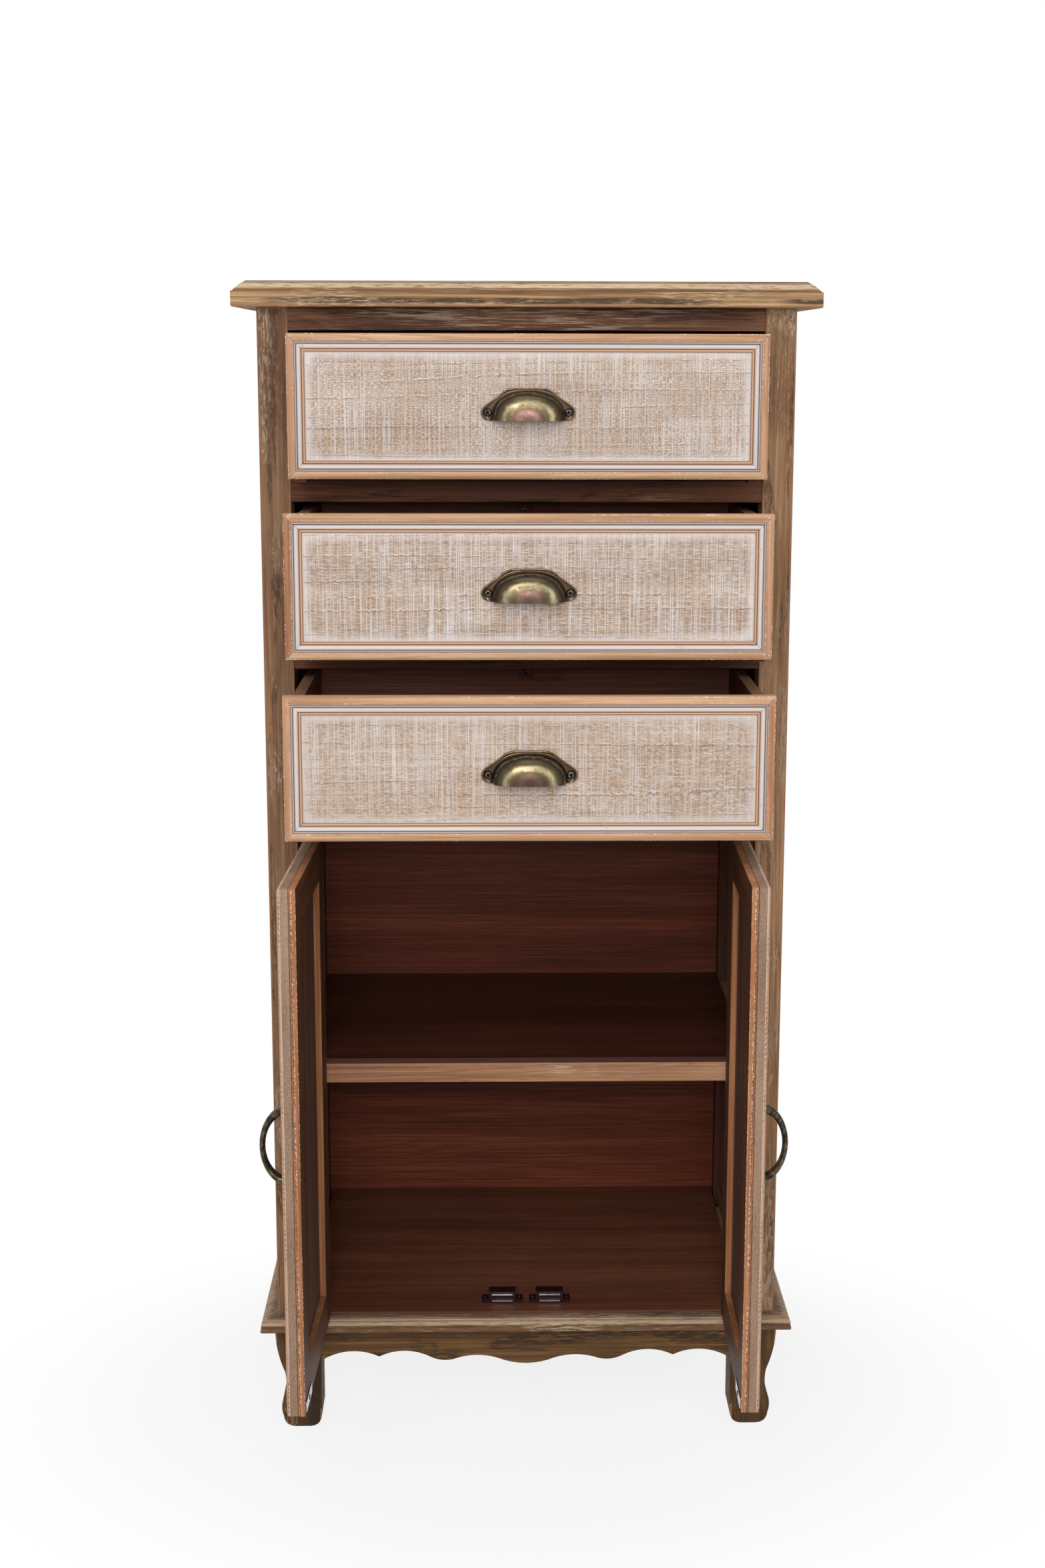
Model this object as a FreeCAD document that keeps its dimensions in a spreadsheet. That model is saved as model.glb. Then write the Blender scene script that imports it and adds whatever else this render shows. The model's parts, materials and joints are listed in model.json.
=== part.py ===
import FreeCAD
import Part
import Sketcher
import os

# Rustic storage cabinet: three inset drawers over a two-door cupboard with one shelf.
# Millimetres, +Z up, +X to the right of someone who faces the doors, front towards -Y.
# The origin is on the floor, in the middle of the whole cabinet as it stands open.
# The rest position is the photographed one: each drawer is pulled out by its own amount
# and both doors stand open at about a right angle.

SIZES = (
    ("case_width", 550.0, "outer width over the corner posts"),
    ("case_depth", 380.0, "depth from the front of the front posts to the back"),
    ("origin_to_front", 67.34, "front of the posts in front of the origin"),
    ("case_top", 1224.5, "height of the underside of the top board"),
    ("post_width", 31.7, "width of every corner post"),
    ("front_post_depth", 36.0, "depth of the front posts"),
    ("rear_post_depth", 25.0, "depth of the rear posts"),
    ("post_ease", 1.5, "rounding of the posts' long edges"),
    ("top_thickness", 26.3, "thickness of the top board"),
    ("top_side_overhang", 24.0, "top board past the posts at each side"),
    ("top_front_overhang", 17.0, "top board past the posts at the front"),
    ("top_back_overhang", 3.0, "top board past the posts at the back"),
    ("top_flat_height", 15.7, "upright part of the top board's edge"),
    ("top_edge_step", 1.2, "small step above the upright part"),
    ("top_edge_ease", 2.0, "rounding under the top board's edge"),
    ("leg_height", 119.3, "height of the legs, and of the posts' lower ends"),
    ("leg_width", 49.8, "width and depth of a leg at its top"),
    ("leg_proud", 3.3, "leg past the post at the front and side"),
    ("rail_height", 23.0, "height of the rails between the drawers"),
    ("rail_setback", 1.6, "rails behind the front of the posts"),
    ("rail_ease", 1.2, "rounding of the rails' long edges"),
    ("drawer_pitch", 173.4, "height from one drawer to the next"),
    ("front_height", 143.2, "height of a drawer front"),
    ("front_side_gap", 3.0, "gap beside a drawer front"),
    ("front_top_gap", 3.2, "gap over a drawer front"),
    ("front_core", 12.0, "thickness of a drawer front behind its moulding"),
    ("moulding_width", 19.0, "width of the moulding round a front or door"),
    ("moulding_rise", 3.0, "moulding in front of the panel that it frames"),
    ("box_clearance", 8.8, "drawer box to the inner face of a post"),
    ("box_wall", 11.5, "thickness of a drawer box's sides"),
    ("box_back", 9.0, "thickness of a drawer box's back"),
    ("box_length", 266.5, "drawer box behind its front"),
    ("box_lift", 0.3, "running gap under a drawer box"),
    ("box_top_drop", 6.0, "drawer box below the top of its front"),
    ("bottom_thickness", 4.0, "thickness of a drawer bottom"),
    ("bottom_lift", 8.0, "drawer bottom above the lower edge of the sides"),
    ("bottom_groove", 5.0, "depth of the groove that holds a drawer bottom"),
    ("upper_pull_out", 64.0, "upper drawer out of the case at rest"),
    ("middle_pull_out", 130.0, "middle drawer out of the case at rest"),
    ("lower_pull_out", 174.0, "lower drawer out of the case at rest"),
    ("guide_clearance", 1.5, "drawer box to its side guide"),
    ("guide_height", 20.0, "height of the side guide above the ledge"),
    ("ledge_reach", 19.0, "runner's ledge inside the guide"),
    ("ledge_height", 14.0, "height of the runner's ledge"),
    ("stop_gap", 1.5, "closed drawer to its rear stop"),
    ("stop_depth", 15.0, "depth of a rear stop"),
    ("stop_height", 12.0, "height of a rear stop"),
    ("turn_length", 46.0, "length of the turning block on a drawer's back"),
    ("turn_play", 0.3, "turning block to the back, and to its screw's head"),
    ("turn_height", 15.5, "height of the turning block"),
    ("turn_thin", 6.0, "turning block at its screw"),
    ("turn_thick", 12.0, "turning block at its long end"),
    ("turn_head_length", 16.5, "length of the thin end"),
    ("turn_pivot_inset", 8.0, "screw to the thin end"),
    ("turn_screw_radius", 3.5, "radius of the turning block's screw head"),
    ("turn_screw_head", 1.5, "height of the turning block's screw head"),
    ("turn_screw_shank", 1.7, "radius of the turning block's screw"),
    ("turn_screw_depth", 6.0, "turning block's screw into the drawer's back"),
    ("pull_width", 95.0, "cup pull over its ears"),
    ("pull_height", 32.0, "height of a cup pull"),
    ("pull_flange", 2.0, "thickness of a cup pull's flange"),
    ("pull_raise", 2.7, "middle of a cup pull above the middle of its drawer front"),
    ("cup_half_width", 36.0, "half width of the cup"),
    ("cup_height", 28.5, "height of the cup"),
    ("cup_depth", 22.0, "cup in front of the panel"),
    ("cup_wall", 1.6, "wall of the cup"),
    ("pull_screw_spacing", 81.0, "between the two screws of a pull"),
    ("pull_screw_height", 8.0, "screws above the pull's lower edge"),
    ("pull_screw_radius", 3.4, "radius of a pull screw's head"),
    ("pull_screw_head", 1.6, "height of a pull screw's head"),
    ("pull_screw_shank", 1.7, "radius of a pull screw's shank"),
    ("pull_screw_depth", 9.0, "pull screw into the drawer front"),
    ("screw_fit", 0.05, "radial room round a screw's shank"),
    ("base_height", 14.0, "height of the base moulding"),
    ("base_projection", 18.2, "base moulding past the posts"),
    ("floor_rise", 16.2, "top of the floor above the posts' lower ends"),
    ("floor_thickness", 12.0, "thickness of the floor"),
    ("floor_setback", 1.5, "floor behind the front of the posts"),
    ("floor_side_gap", 2.8, "floor to the inner face of a post"),
    ("apron_setback", 1.5, "front apron behind the front of the posts"),
    ("apron_thickness", 18.0, "thickness of the aprons"),
    ("apron_drop", 46.0, "lowest lobe of the front apron below the legs' top"),
    ("plain_apron_drop", 40.0, "lower ends of the side and rear aprons below the legs' top"),
    ("plain_apron_arch", 12.0, "rise of the side and rear aprons' lower edge"),
    ("side_apron_inset", 3.0, "side aprons behind the posts' outer faces"),
    ("side_rail_width", 27.0, "thickness of the side rails"),
    ("side_rail_height", 35.2, "height of the side rails"),
    ("side_panel_inset", 10.0, "side panel behind the posts' outer faces"),
    ("side_panel_thickness", 9.0, "thickness of the side panels"),
    ("panel_groove", 6.0, "side panels' depth in their grooves"),
    ("back_thickness", 5.0, "thickness of the back panel"),
    ("back_rabbet", 6.0, "back panel's reach behind each rear post"),
    ("shelf_top", 418.7, "height of the shelf's upper face"),
    ("shelf_thickness", 6.0, "thickness of the shelf board"),
    ("shelf_setback", 34.0, "shelf behind the front of the posts"),
    ("strip_height", 21.5, "height of the strip under the shelf's front"),
    ("strip_thickness", 18.0, "thickness of that strip"),
    ("cleat_width", 22.0, "cleats' reach inwards past the posts"),
    ("cleat_height", 18.0, "height of the cleats under the floor and shelf"),
    ("door_top_gap", 2.5, "gap over a door"),
    ("door_bottom_gap", 2.0, "gap under a door"),
    ("door_middle_gap", 3.2, "gap between the closed doors"),
    ("door_core", 9.0, "thickness of a door's panel"),
    ("door_frame_thickness", 6.5, "thickness of the frame on a door's inner face"),
    ("door_frame_width", 40.0, "width of that frame's stiles and rails"),
    ("left_door_angle", 92.0, "left door open at rest, in degrees"),
    ("right_door_angle", 89.0, "right door open at rest, in degrees"),
    ("hinge_length", 50.0, "length of a hinge"),
    ("hinge_inset", 70.0, "hinge's end to the door's end"),
    ("hinge_leaf", 1.2, "thickness of a hinge leaf"),
    ("hinge_leaf_gap", 0.3, "between the two leaves of a closed hinge"),
    ("hinge_leaf_reach", 16.0, "leaf behind the door's face"),
    ("pin_forward", 7.5, "hinge pin in front of the doors"),
    ("pin_radius", 1.5, "radius of a hinge pin"),
    ("pin_fit", 0.06, "radial room between pin and turning knuckle"),
    ("knuckle_radius", 3.2, "radius of a hinge knuckle"),
    ("knuckle_gap", 0.3, "between neighbouring knuckles, and round them"),
    ("handle_inset", 34.0, "bow handle to the door's free edge"),
    ("handle_raise", 1.4, "middle of a bow handle above the middle of its door"),
    ("handle_spacing", 74.0, "between the bow handle's two feet"),
    ("handle_reach", 26.0, "middle of the bow in front of its panel"),
    ("bow_thickness", 5.8, "thickness of the bow at its middle"),
    ("bow_width", 9.0, "width of the bow at its middle"),
    ("foot_thickness", 11.0, "thickness of the bow at its feet"),
    ("foot_width", 13.0, "width of the bow at its feet"),
    ("strike_length", 45.0, "length of a strike plate"),
    ("strike_height", 11.0, "height of a strike plate"),
    ("strike_thickness", 1.0, "thickness of a strike plate"),
    ("strike_inset", 6.0, "strike plate to the door's free edge"),
    ("strike_lift", 1.5, "strike plate to the door's lower edge"),
    ("catch_offset", 26.5, "middle of a catch to the middle of the cabinet"),
    ("catch_width", 45.5, "catch over its screw ears"),
    ("catch_body_width", 30.0, "width of a catch's housing"),
    ("catch_depth", 14.0, "depth of a catch"),
    ("catch_height", 13.3, "height of a catch's housing"),
    ("catch_ear_height", 4.3, "height of a catch's ears"),
    ("catch_air", 1.5, "catch plates to the closed door's strike plate"),
    ("catch_plate_width", 23.0, "width of a catch's steel plates"),
    ("catch_plate_thickness", 1.6, "thickness of those plates"),
    ("catch_plate_depth", 10.0, "depth of those plates"),
    ("catch_plate_proud", 2.0, "plates in front of the housing"),
    ("catch_plate_low", 2.2, "lower plate above the floor"),
    ("catch_plate_high", 9.6, "upper plate above the floor"),
)

# Outlines as shares of the sizes that they follow. A pair is a corner, reached in a
# straight line; four values are the middle and the end of an arc.
top_slope_shares = ((0.0, 0.0), (0.5, 0.62), (1.0, 1.0))
top_slope_run_share = 0.51
leg_outline_shares = (
    (0.0, 1.0),
    (0.0, 0.145),
    (0.09, 0.036, 0.27, 0.0),
    (0.575, 0.0),
    (0.765, 0.04, 0.845, 0.118),
    (0.888, 0.21, 0.815, 0.315),
    (0.785, 0.435, 0.81, 0.54),
    (0.93, 0.7, 1.0, 0.94),
    (1.0, 1.0),
)
leg_side_shares = (
    (0.0, 1.0),
    (0.0, 0.145),
    (0.09, 0.036, 0.27, 0.0),
    (0.93, 0.0),
    (0.984, 0.032, 1.0, 0.115),
    (0.945, 0.24, 0.9, 0.37),
    (0.915, 0.62, 1.0, 0.94),
    (1.0, 1.0),
)
apron_scallop_shares = (
    (1.0, 0.91),
    (0.84, 0.663, 0.717, 0.807),
    (0.583, 0.663, 0.466, 0.822),
    (0.399, 0.907, 0.334, 0.85),
    (0.246, 0.783, 0.132, 0.872),
    (0.0, 1.0, -0.132, 0.872),
    (-0.246, 0.783, -0.334, 0.85),
    (-0.399, 0.907, -0.466, 0.822),
    (-0.583, 0.663, -0.717, 0.807),
    (-0.84, 0.663, -1.0, 0.91),
)
moulding_shares = (
    (0.0, 0.0),
    (0.0, 0.45),
    (0.13, 0.98, 0.37, 0.74),
    (0.39, 0.42),
    (0.41, 0.55),
    (0.46, 0.82, 0.51, 0.55),
    (0.53, 0.4),
    (0.54, 0.82),
    (0.7, 0.62, 0.78, 0.4),
    (0.8, 0.24),
    (0.86, 0.52, 0.92, 0.26),
    (1.0, 0.16),
    (1.0, 0.0),
)
base_shares = (
    (0.0, 0.0),
    (0.93, 0.0),
    (1.0, 0.17, 0.94, 0.36),
    (0.91, 0.39),
    (0.95, 0.66, 0.7, 0.84),
    (0.64, 0.85),
    (0.62, 0.93),
    (0.25, 1.0),
    (0.0, 1.0),
)
flange_shares = (
    (-0.4, 0.0),
    (0.4, 0.0),
    (0.5, 0.17, 0.46, 0.44),
    (0.31, 0.77),
    (0.25, 0.93, 0.16, 1.0),
    (-0.16, 1.0),
    (-0.25, 0.93, -0.31, 0.77),
    (-0.46, 0.44),
    (-0.5, 0.17, -0.4, 0.0),
)


class Length:
    """A size with its value and the expression that ties it to the sheet."""

    def __init__(self, value, text):
        self.value = value
        self.text = text

    def __add__(self, other):
        return Length(self.value + value_of(other), "(%s + %s)" % (self.text, text_of(other)))

    def __radd__(self, other):
        return Length(value_of(other) + self.value, "(%s + %s)" % (text_of(other), self.text))

    def __sub__(self, other):
        return Length(self.value - value_of(other), "(%s - %s)" % (self.text, text_of(other)))

    def __rsub__(self, other):
        return Length(value_of(other) - self.value, "(%s - %s)" % (text_of(other), self.text))

    def __mul__(self, other):
        return Length(self.value * value_of(other), "(%s * %s)" % (self.text, text_of(other)))

    def __rmul__(self, other):
        return self * other

    def __truediv__(self, other):
        return Length(self.value / value_of(other), "(%s / %s)" % (self.text, text_of(other)))

    def __neg__(self):
        return self * -1


def value_of(item):
    """The number behind a size or a plain number."""
    return item.value if isinstance(item, Length) else float(item)


def text_of(item):
    """The expression behind a size or a plain number."""
    return item.text if isinstance(item, Length) else "%.6f" % item


class SizeSheet:
    """Gives each named cell of the sheet as a Length."""

    def __init__(self, document):
        self.sheet = document.addObject("Spreadsheet::Sheet", "Sizes")
        self.values = {}
        for row, (alias, value, meaning) in enumerate(SIZES, start=1):
            self.sheet.set("A%d" % row, meaning)
            self.sheet.set("B%d" % row, "%s" % value)
            self.sheet.setAlias("B%d" % row, alias)
            self.values[alias] = value
        document.recompute()

    def __getattr__(self, alias):
        return Length(self.values[alias], "Sizes.%s" % alias)


doc = FreeCAD.newDocument("StorageCabinet")
size = SizeSheet(doc)
nodes = {}


# Binding, placing and sketching

def bind(item, name, length):
    """Tie one property to its expression, or set it where the length is a plain number."""
    if isinstance(length, Length):
        item.setExpression(name, length.text)
    else:
        item.setExpression(name, "%.6f" % length)


def place(item, x=0, y=0, z=0, turn=0):
    """Put an object at a point, turned about the vertical by some degrees."""
    for axis, length in (("x", x), ("y", y), ("z", z)):
        bind(item, "Placement.Base.%s" % axis, length)
    if isinstance(turn, Length) or turn:
        item.Placement.Rotation = FreeCAD.Rotation(FreeCAD.Vector(0, 0, 1), value_of(turn))
        bind(item, "Placement.Rotation.Angle", turn)
    return item


def export_as(label, item):
    """Name an object as one node of the cabinet."""
    item.Label = label
    nodes[label] = item
    return item


def spread(outline):
    """The outline's corners, each with the middle of the arc that reaches it, if any."""
    start = outline[0]
    steps = []
    for item in tuple(outline[1:]):
        middle = (item[0], item[1]) if len(item) == 4 else None
        steps.append((middle, (item[-2], item[-1])))
    last = steps[-1][1]
    gap = max(abs(value_of(a) - value_of(b)) for a, b in zip(last, start))
    if gap:
        steps.append((None, start))
    return start, steps


def vector(point):
    """A sketch point as a vector."""
    return FreeCAD.Vector(value_of(point[0]), value_of(point[1]), 0)


def draw(sketch, outline):
    """Draw a closed outline whose points are tied to the sheet."""
    start, steps = spread(outline)
    curves = []
    middles = []
    here = start
    for middle, end in steps:
        if middle is None:
            number = sketch.addGeometry(Part.LineSegment(vector(here), vector(end)), False)
            curves.append((number, 1, 2))
        else:
            arc = Part.Arc(vector(here), vector(middle), vector(end))
            number = sketch.addGeometry(arc, False)
            forward = (sketch.getPoint(number, 1) - vector(here)).Length
            backward = (sketch.getPoint(number, 2) - vector(here)).Length
            curves.append((number, 1, 2) if forward < backward else (number, 2, 1))
            spot = sketch.addGeometry(Part.Point(vector(middle)), True)
            middles.append((spot, middle, number))
        here = end
    rules = []
    ties = []
    points = [start] + [end for middle, end in steps[:-1]]
    for index, (number, first, last) in enumerate(curves):
        following = curves[(index + 1) % len(curves)]
        rules.append(Sketcher.Constraint("Coincident", number, last, following[0], following[1]))
        fix_point(rules, ties, number, first, points[index])
    for spot, middle, number in middles:
        fix_point(rules, ties, spot, 1, middle)
        rules.append(Sketcher.Constraint("PointOnObject", spot, 1, number))
    sketch.addConstraint(rules)
    for index, length in ties:
        sketch.setExpression("Constraints[%d]" % index, length.text)
    return sketch


def fix_point(rules, ties, number, end, point):
    """Hold one end of a curve at a point of the outline."""
    for kind, length in (("DistanceX", point[0]), ("DistanceY", point[1])):
        rules.append(Sketcher.Constraint(kind, -1, 1, number, end, value_of(length)))
        if isinstance(length, Length):
            ties.append((len(rules) - 1, length))


def outline_sketch(body, plane, outline, offset=0, name="Outline"):
    """A sketch on one of the body's own origin planes."""
    sketch = body.newObject("Sketcher::SketchObject", name)
    support = [item for item in body.Origin.OriginFeatures if item.Role == plane]
    sketch.AttachmentSupport = [(support[0], "")]
    sketch.MapMode = "FlatFace"
    bind(sketch, "AttachmentOffset.Base.z", offset)
    return draw(sketch, outline)


def slab(name, plane, outline, start, thickness):
    """A body padded from an outline, from start to start + thickness along the plane's axis."""
    body = doc.addObject("PartDesign::Body", name)
    backwards = plane == "XZ_Plane"
    offset = -start if backwards else start
    sketch = outline_sketch(body, plane, outline, offset)
    pad = body.newObject("PartDesign::Pad", name + "_pad")
    pad.Profile = sketch
    bind(pad, "Length", thickness)
    pad.Reversed = backwards
    return body


def rectangle(left, right, bottom, top):
    """Corners of a rectangle."""
    return ((left, bottom), (right, bottom), (right, top), (left, top))


def round_edges(body, radius, chosen):
    """Round those edges of the body's last feature that the test picks."""
    doc.recompute()
    base = body.Tip
    names = ["Edge%d" % (i + 1) for i, edge in enumerate(base.Shape.Edges) if chosen(edge)]
    fillet = body.newObject("PartDesign::Fillet", body.Name + "_ease")
    fillet.Base = (base, names)
    bind(fillet, "Radius", radius)
    return body


def runs_along(axis):
    """A test for straight edges that run along one axis."""
    def test(edge):
        box = edge.BoundBox
        spans = {"x": box.XLength, "y": box.YLength, "z": box.ZLength}
        return spans.pop(axis) > 0.99 * edge.Length and max(spans.values()) < 0.01 * edge.Length
    return test


def box(name, x, y, z, length, width, height):
    """A plain board: its lowest corner and its three sizes."""
    board = doc.addObject("Part::Box", name)
    bind(board, "Length", length)
    bind(board, "Width", width)
    bind(board, "Height", height)
    return place(board, x, y, z)


def cylinder(name, x, y, z, radius, height, along=None):
    """A round piece; along gives the rotation of an axis that isn't upright."""
    rod = doc.addObject("Part::Cylinder", name)
    bind(rod, "Radius", radius)
    bind(rod, "Height", height)
    if along is not None:
        rod.Placement.Rotation = along
    return place(rod, x, y, z)


def cut(name, base, tool):
    """The base with the tool taken out."""
    result = doc.addObject("Part::Cut", name)
    result.Base = base
    result.Tool = tool
    return result


def fuse(name, pieces):
    """Pieces that are made as one."""
    result = doc.addObject("Part::MultiFuse", name)
    result.Shapes = pieces
    return result


def group(name, pieces):
    """Separate solids that share a node."""
    result = doc.addObject("Part::Compound", name)
    result.Links = pieces
    return result


def mirrored(name, source):
    """The same piece on the other side of the cabinet."""
    result = doc.addObject("Part::Mirroring", name)
    result.Source = source
    result.Normal = (1, 0, 0)
    result.Base = (0, 0, 0)
    return result


# Places that several pieces share

LYING_FORWARD = FreeCAD.Rotation(FreeCAD.Vector(1, 0, 0), 90)
front = -size.origin_to_front
back = front + size.case_depth
half_case = size.case_width / 2
inner_half = half_case - size.post_width
post_back = front + size.front_post_depth
rear_post_front = back - size.rear_post_depth
floor_top = size.leg_height + size.floor_rise
floor_under = floor_top - size.floor_thickness
top_rail_under = size.case_top - size.rail_height
panel_outer = half_case - size.side_panel_inset
panel_inner = panel_outer - size.side_panel_thickness
side_rail_inner = half_case - size.side_rail_width
back_face = back - size.back_thickness
leg_inner = half_case + size.leg_proud - size.leg_width
front_leg_back = front - size.leg_proud + size.leg_width
rear_leg_front = back + size.leg_proud - size.leg_width


def rail_under(level):
    """Underside of the rail below drawer number level, counted from the top."""
    return top_rail_under - size.drawer_pitch * level


# Case

def top_board():
    """Board with an upright edge, a small step and a two-stage slope on three sides."""
    body = doc.addObject("PartDesign::Body", "TopBoard")
    left = -half_case - size.top_side_overhang
    near = front - size.top_front_overhang
    far = back + size.top_back_overhang
    lower = outline_sketch(body, "XY_Plane", rectangle(left, -left, near, far), size.case_top)
    pad = body.newObject("PartDesign::Pad", "TopBoard_pad")
    pad.Profile = lower
    bind(pad, "Length", size.top_flat_height)
    under = value_of(size.case_top)
    sides = [runs_along("x"), runs_along("y")]

    def under_edge(edge):
        low = abs(edge.BoundBox.ZMax - under) < value_of(size.top_edge_ease)
        return low and any(side(edge) for side in sides) and edge.BoundBox.YMin < value_of(back)
    round_edges(body, size.top_edge_ease, under_edge)
    rise = size.top_thickness - size.top_flat_height
    run = size.top_thickness * top_slope_run_share
    sections = []
    for along, up in top_slope_shares:
        inset = size.top_edge_step + run * along
        shape = rectangle(left + inset, -left - inset, near + inset, far)
        height = size.case_top + size.top_flat_height + rise * up
        sections.append(outline_sketch(body, "XY_Plane", shape, height, "Slope"))
    loft = body.newObject("PartDesign::AdditiveLoft", "TopBoard_slope")
    loft.Profile = sections[0]
    loft.Sections = sections[1:]
    loft.Ruled = True
    export_as("top_board", body)


def posts():
    """Corner posts: grooved for the side panels, the rear ones rabbeted for the back."""
    groove_end = size.panel_groove
    front_outline = (
        (-half_case, front), (-inner_half, front), (-inner_half, post_back),
        (-panel_inner, post_back), (-panel_inner, post_back - groove_end),
        (-panel_outer, post_back - groove_end), (-panel_outer, post_back), (-half_case, post_back),
    )
    rabbet = -inner_half - size.back_rabbet
    rear_outline = (
        (-half_case, rear_post_front), (-panel_outer, rear_post_front),
        (-panel_outer, rear_post_front + groove_end), (-panel_inner, rear_post_front + groove_end),
        (-panel_inner, rear_post_front), (-inner_half, rear_post_front), (-inner_half, back_face),
        (rabbet, back_face), (rabbet, back), (-half_case, back),
    )
    length = size.case_top - size.leg_height
    for name, outline in (("front", front_outline), ("rear", rear_outline)):
        left = slab(name + "_post", "XY_Plane", outline, size.leg_height, length)
        corners = post_corner(name)
        round_edges(left, size.post_ease, corners)
        export_as(name + "_left_post", left)
        export_as(name + "_right_post", mirrored(name + "_post_mirror", left))


def post_corner(name):
    """A test for the long edges of a post that show."""
    outer = value_of(-half_case)
    inner = value_of(-inner_half)
    near = value_of(front)
    far = value_of(back)

    def test(edge):
        if not runs_along("z")(edge):
            return False
        x, y = edge.BoundBox.XMin, edge.BoundBox.YMin
        if name == "front":
            return abs(y - near) < 0.1 and (abs(x - outer) < 0.1 or abs(x - inner) < 0.1)
        return abs(y - far) < 0.1 and abs(x - outer) < 0.1
    return test


def side_frames():
    """Side panels in their grooved rails."""
    depth = rear_post_front - post_back
    low = size.leg_height + size.side_rail_height
    high = size.case_top - size.side_rail_height
    groove = size.panel_groove
    rails = []
    for name, base, edge, deep in (
        ("lower_side_rail", size.leg_height, low, low - groove),
        ("upper_side_rail", size.case_top, high, high + groove),
    ):
        outline = (
            (-half_case, base), (-side_rail_inner, base), (-side_rail_inner, edge),
            (-panel_inner, edge), (-panel_inner, deep), (-panel_outer, deep),
            (-panel_outer, edge), (-half_case, edge),
        )
        rails.append(slab(name, "XZ_Plane", outline, post_back, depth))
    mirrors = [mirrored(rail.Name + "_mirror", rail) for rail in rails]
    export_as("side_rails", group("side_rails", rails + mirrors))
    panel = box(
        "side_panel", -panel_outer, post_back - groove, low - groove,
        size.side_panel_thickness, depth + groove * 2, high - low + groove * 2,
    )
    export_as("left_side_panel", panel)
    export_as("right_side_panel", mirrored("side_panel_mirror", panel))


def front_rails():
    """Top rail and the three rails under the drawers."""
    depth = size.front_post_depth - size.rail_setback
    rails = []
    for level in range(4):
        shape = rectangle(-inner_half, inner_half, rail_under(level),
                          rail_under(level) + size.rail_height)
        rail = slab("rail_%d" % level, "XZ_Plane", shape, front + size.rail_setback, depth)
        near = value_of(front + size.rail_setback)

        def front_edge(edge):
            return runs_along("x")(edge) and abs(edge.BoundBox.YMin - near) < 0.1
        rails.append(round_edges(rail, size.rail_ease, front_edge))
    export_as("top_rail", rails[0])
    export_as("divider_rails", group("divider_rails", rails[1:]))


def back_and_floor():
    """Back panel in the posts' rabbets, the floor, the shelf and what carries them."""
    reach = inner_half + size.back_rabbet
    export_as("back_panel", box(
        "back_panel", -reach, back_face, size.leg_height,
        reach * 2, size.back_thickness, size.case_top - size.leg_height,
    ))
    half_floor = inner_half - size.floor_side_gap
    near = front + size.floor_setback
    export_as("floor_board", box(
        "floor_board", -half_floor, near, floor_under,
        half_floor * 2, back_face - near, size.floor_thickness,
    ))
    shelf_front = front + size.shelf_setback
    shelf_under = size.shelf_top - size.shelf_thickness
    export_as("shelf_board", box(
        "shelf_board", -inner_half, shelf_front, shelf_under,
        inner_half * 2, back_face - shelf_front, size.shelf_thickness,
    ))
    strip = box(
        "shelf_front_strip", -inner_half, shelf_front, shelf_under - size.strip_height,
        inner_half * 2, size.strip_thickness, size.strip_height,
    )
    export_as("shelf_front_strip", strip)
    cleats(shelf_front + size.strip_thickness, shelf_under)


def cleats(strip_back, shelf_under):
    """Cleats under the shelf, on the side panels, and under the floor, on the side rails."""
    inner_edge = inner_half - size.cleat_width
    pieces = []
    for name, outer, near, far, top in (
        ("shelf_cleat", panel_inner, strip_back, rear_post_front, shelf_under),
        ("floor_cleat", side_rail_inner, front_leg_back, rear_leg_front, floor_under),
    ):
        cleat = box(
            name, -outer, near, top - size.cleat_height,
            outer - inner_edge, far - near, size.cleat_height,
        )
        pieces.extend([cleat, mirrored(name + "_mirror", cleat)])
    export_as("cleats", group("cleats", pieces))


def drawer_runners():
    """An L-shaped runner with a rear stop at each side of each drawer."""
    guide_inner = inner_half - size.box_clearance + size.guide_clearance
    ledge_inner = guide_inner - size.ledge_reach
    stop_at = front + size.moulding_rise + size.front_core + size.box_length + size.stop_gap
    pieces = []
    for level in (1, 2, 3):
        top = rail_under(level) + size.rail_height
        outline = (
            (-panel_inner, top - size.ledge_height), (-ledge_inner, top - size.ledge_height),
            (-ledge_inner, top), (-guide_inner, top), (-guide_inner, top + size.guide_height),
            (-panel_inner, top + size.guide_height),
        )
        strip = slab("runner_%d_strip" % level, "XZ_Plane", outline, post_back,
                     rear_post_front - post_back)
        stop = box(
            "runner_%d_stop" % level, -guide_inner, stop_at, top,
            size.ledge_reach, size.stop_depth, size.stop_height,
        )
        runner = fuse("runner_%d" % level, [strip, stop])
        pieces.extend([runner, mirrored("runner_%d_mirror" % level, runner)])
    export_as("drawer_runners", group("drawer_runners", pieces))


def scaled(shares, width, height, left=0, bottom=0):
    """An outline from its shares of a width and a height."""
    points = []
    for item in shares:
        point = []
        for index, share in enumerate(item):
            along = index % 2 == 0
            point.append((left + width * share) if along else (bottom + height * share))
        points.append(tuple(point))
    return tuple(points)


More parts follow.
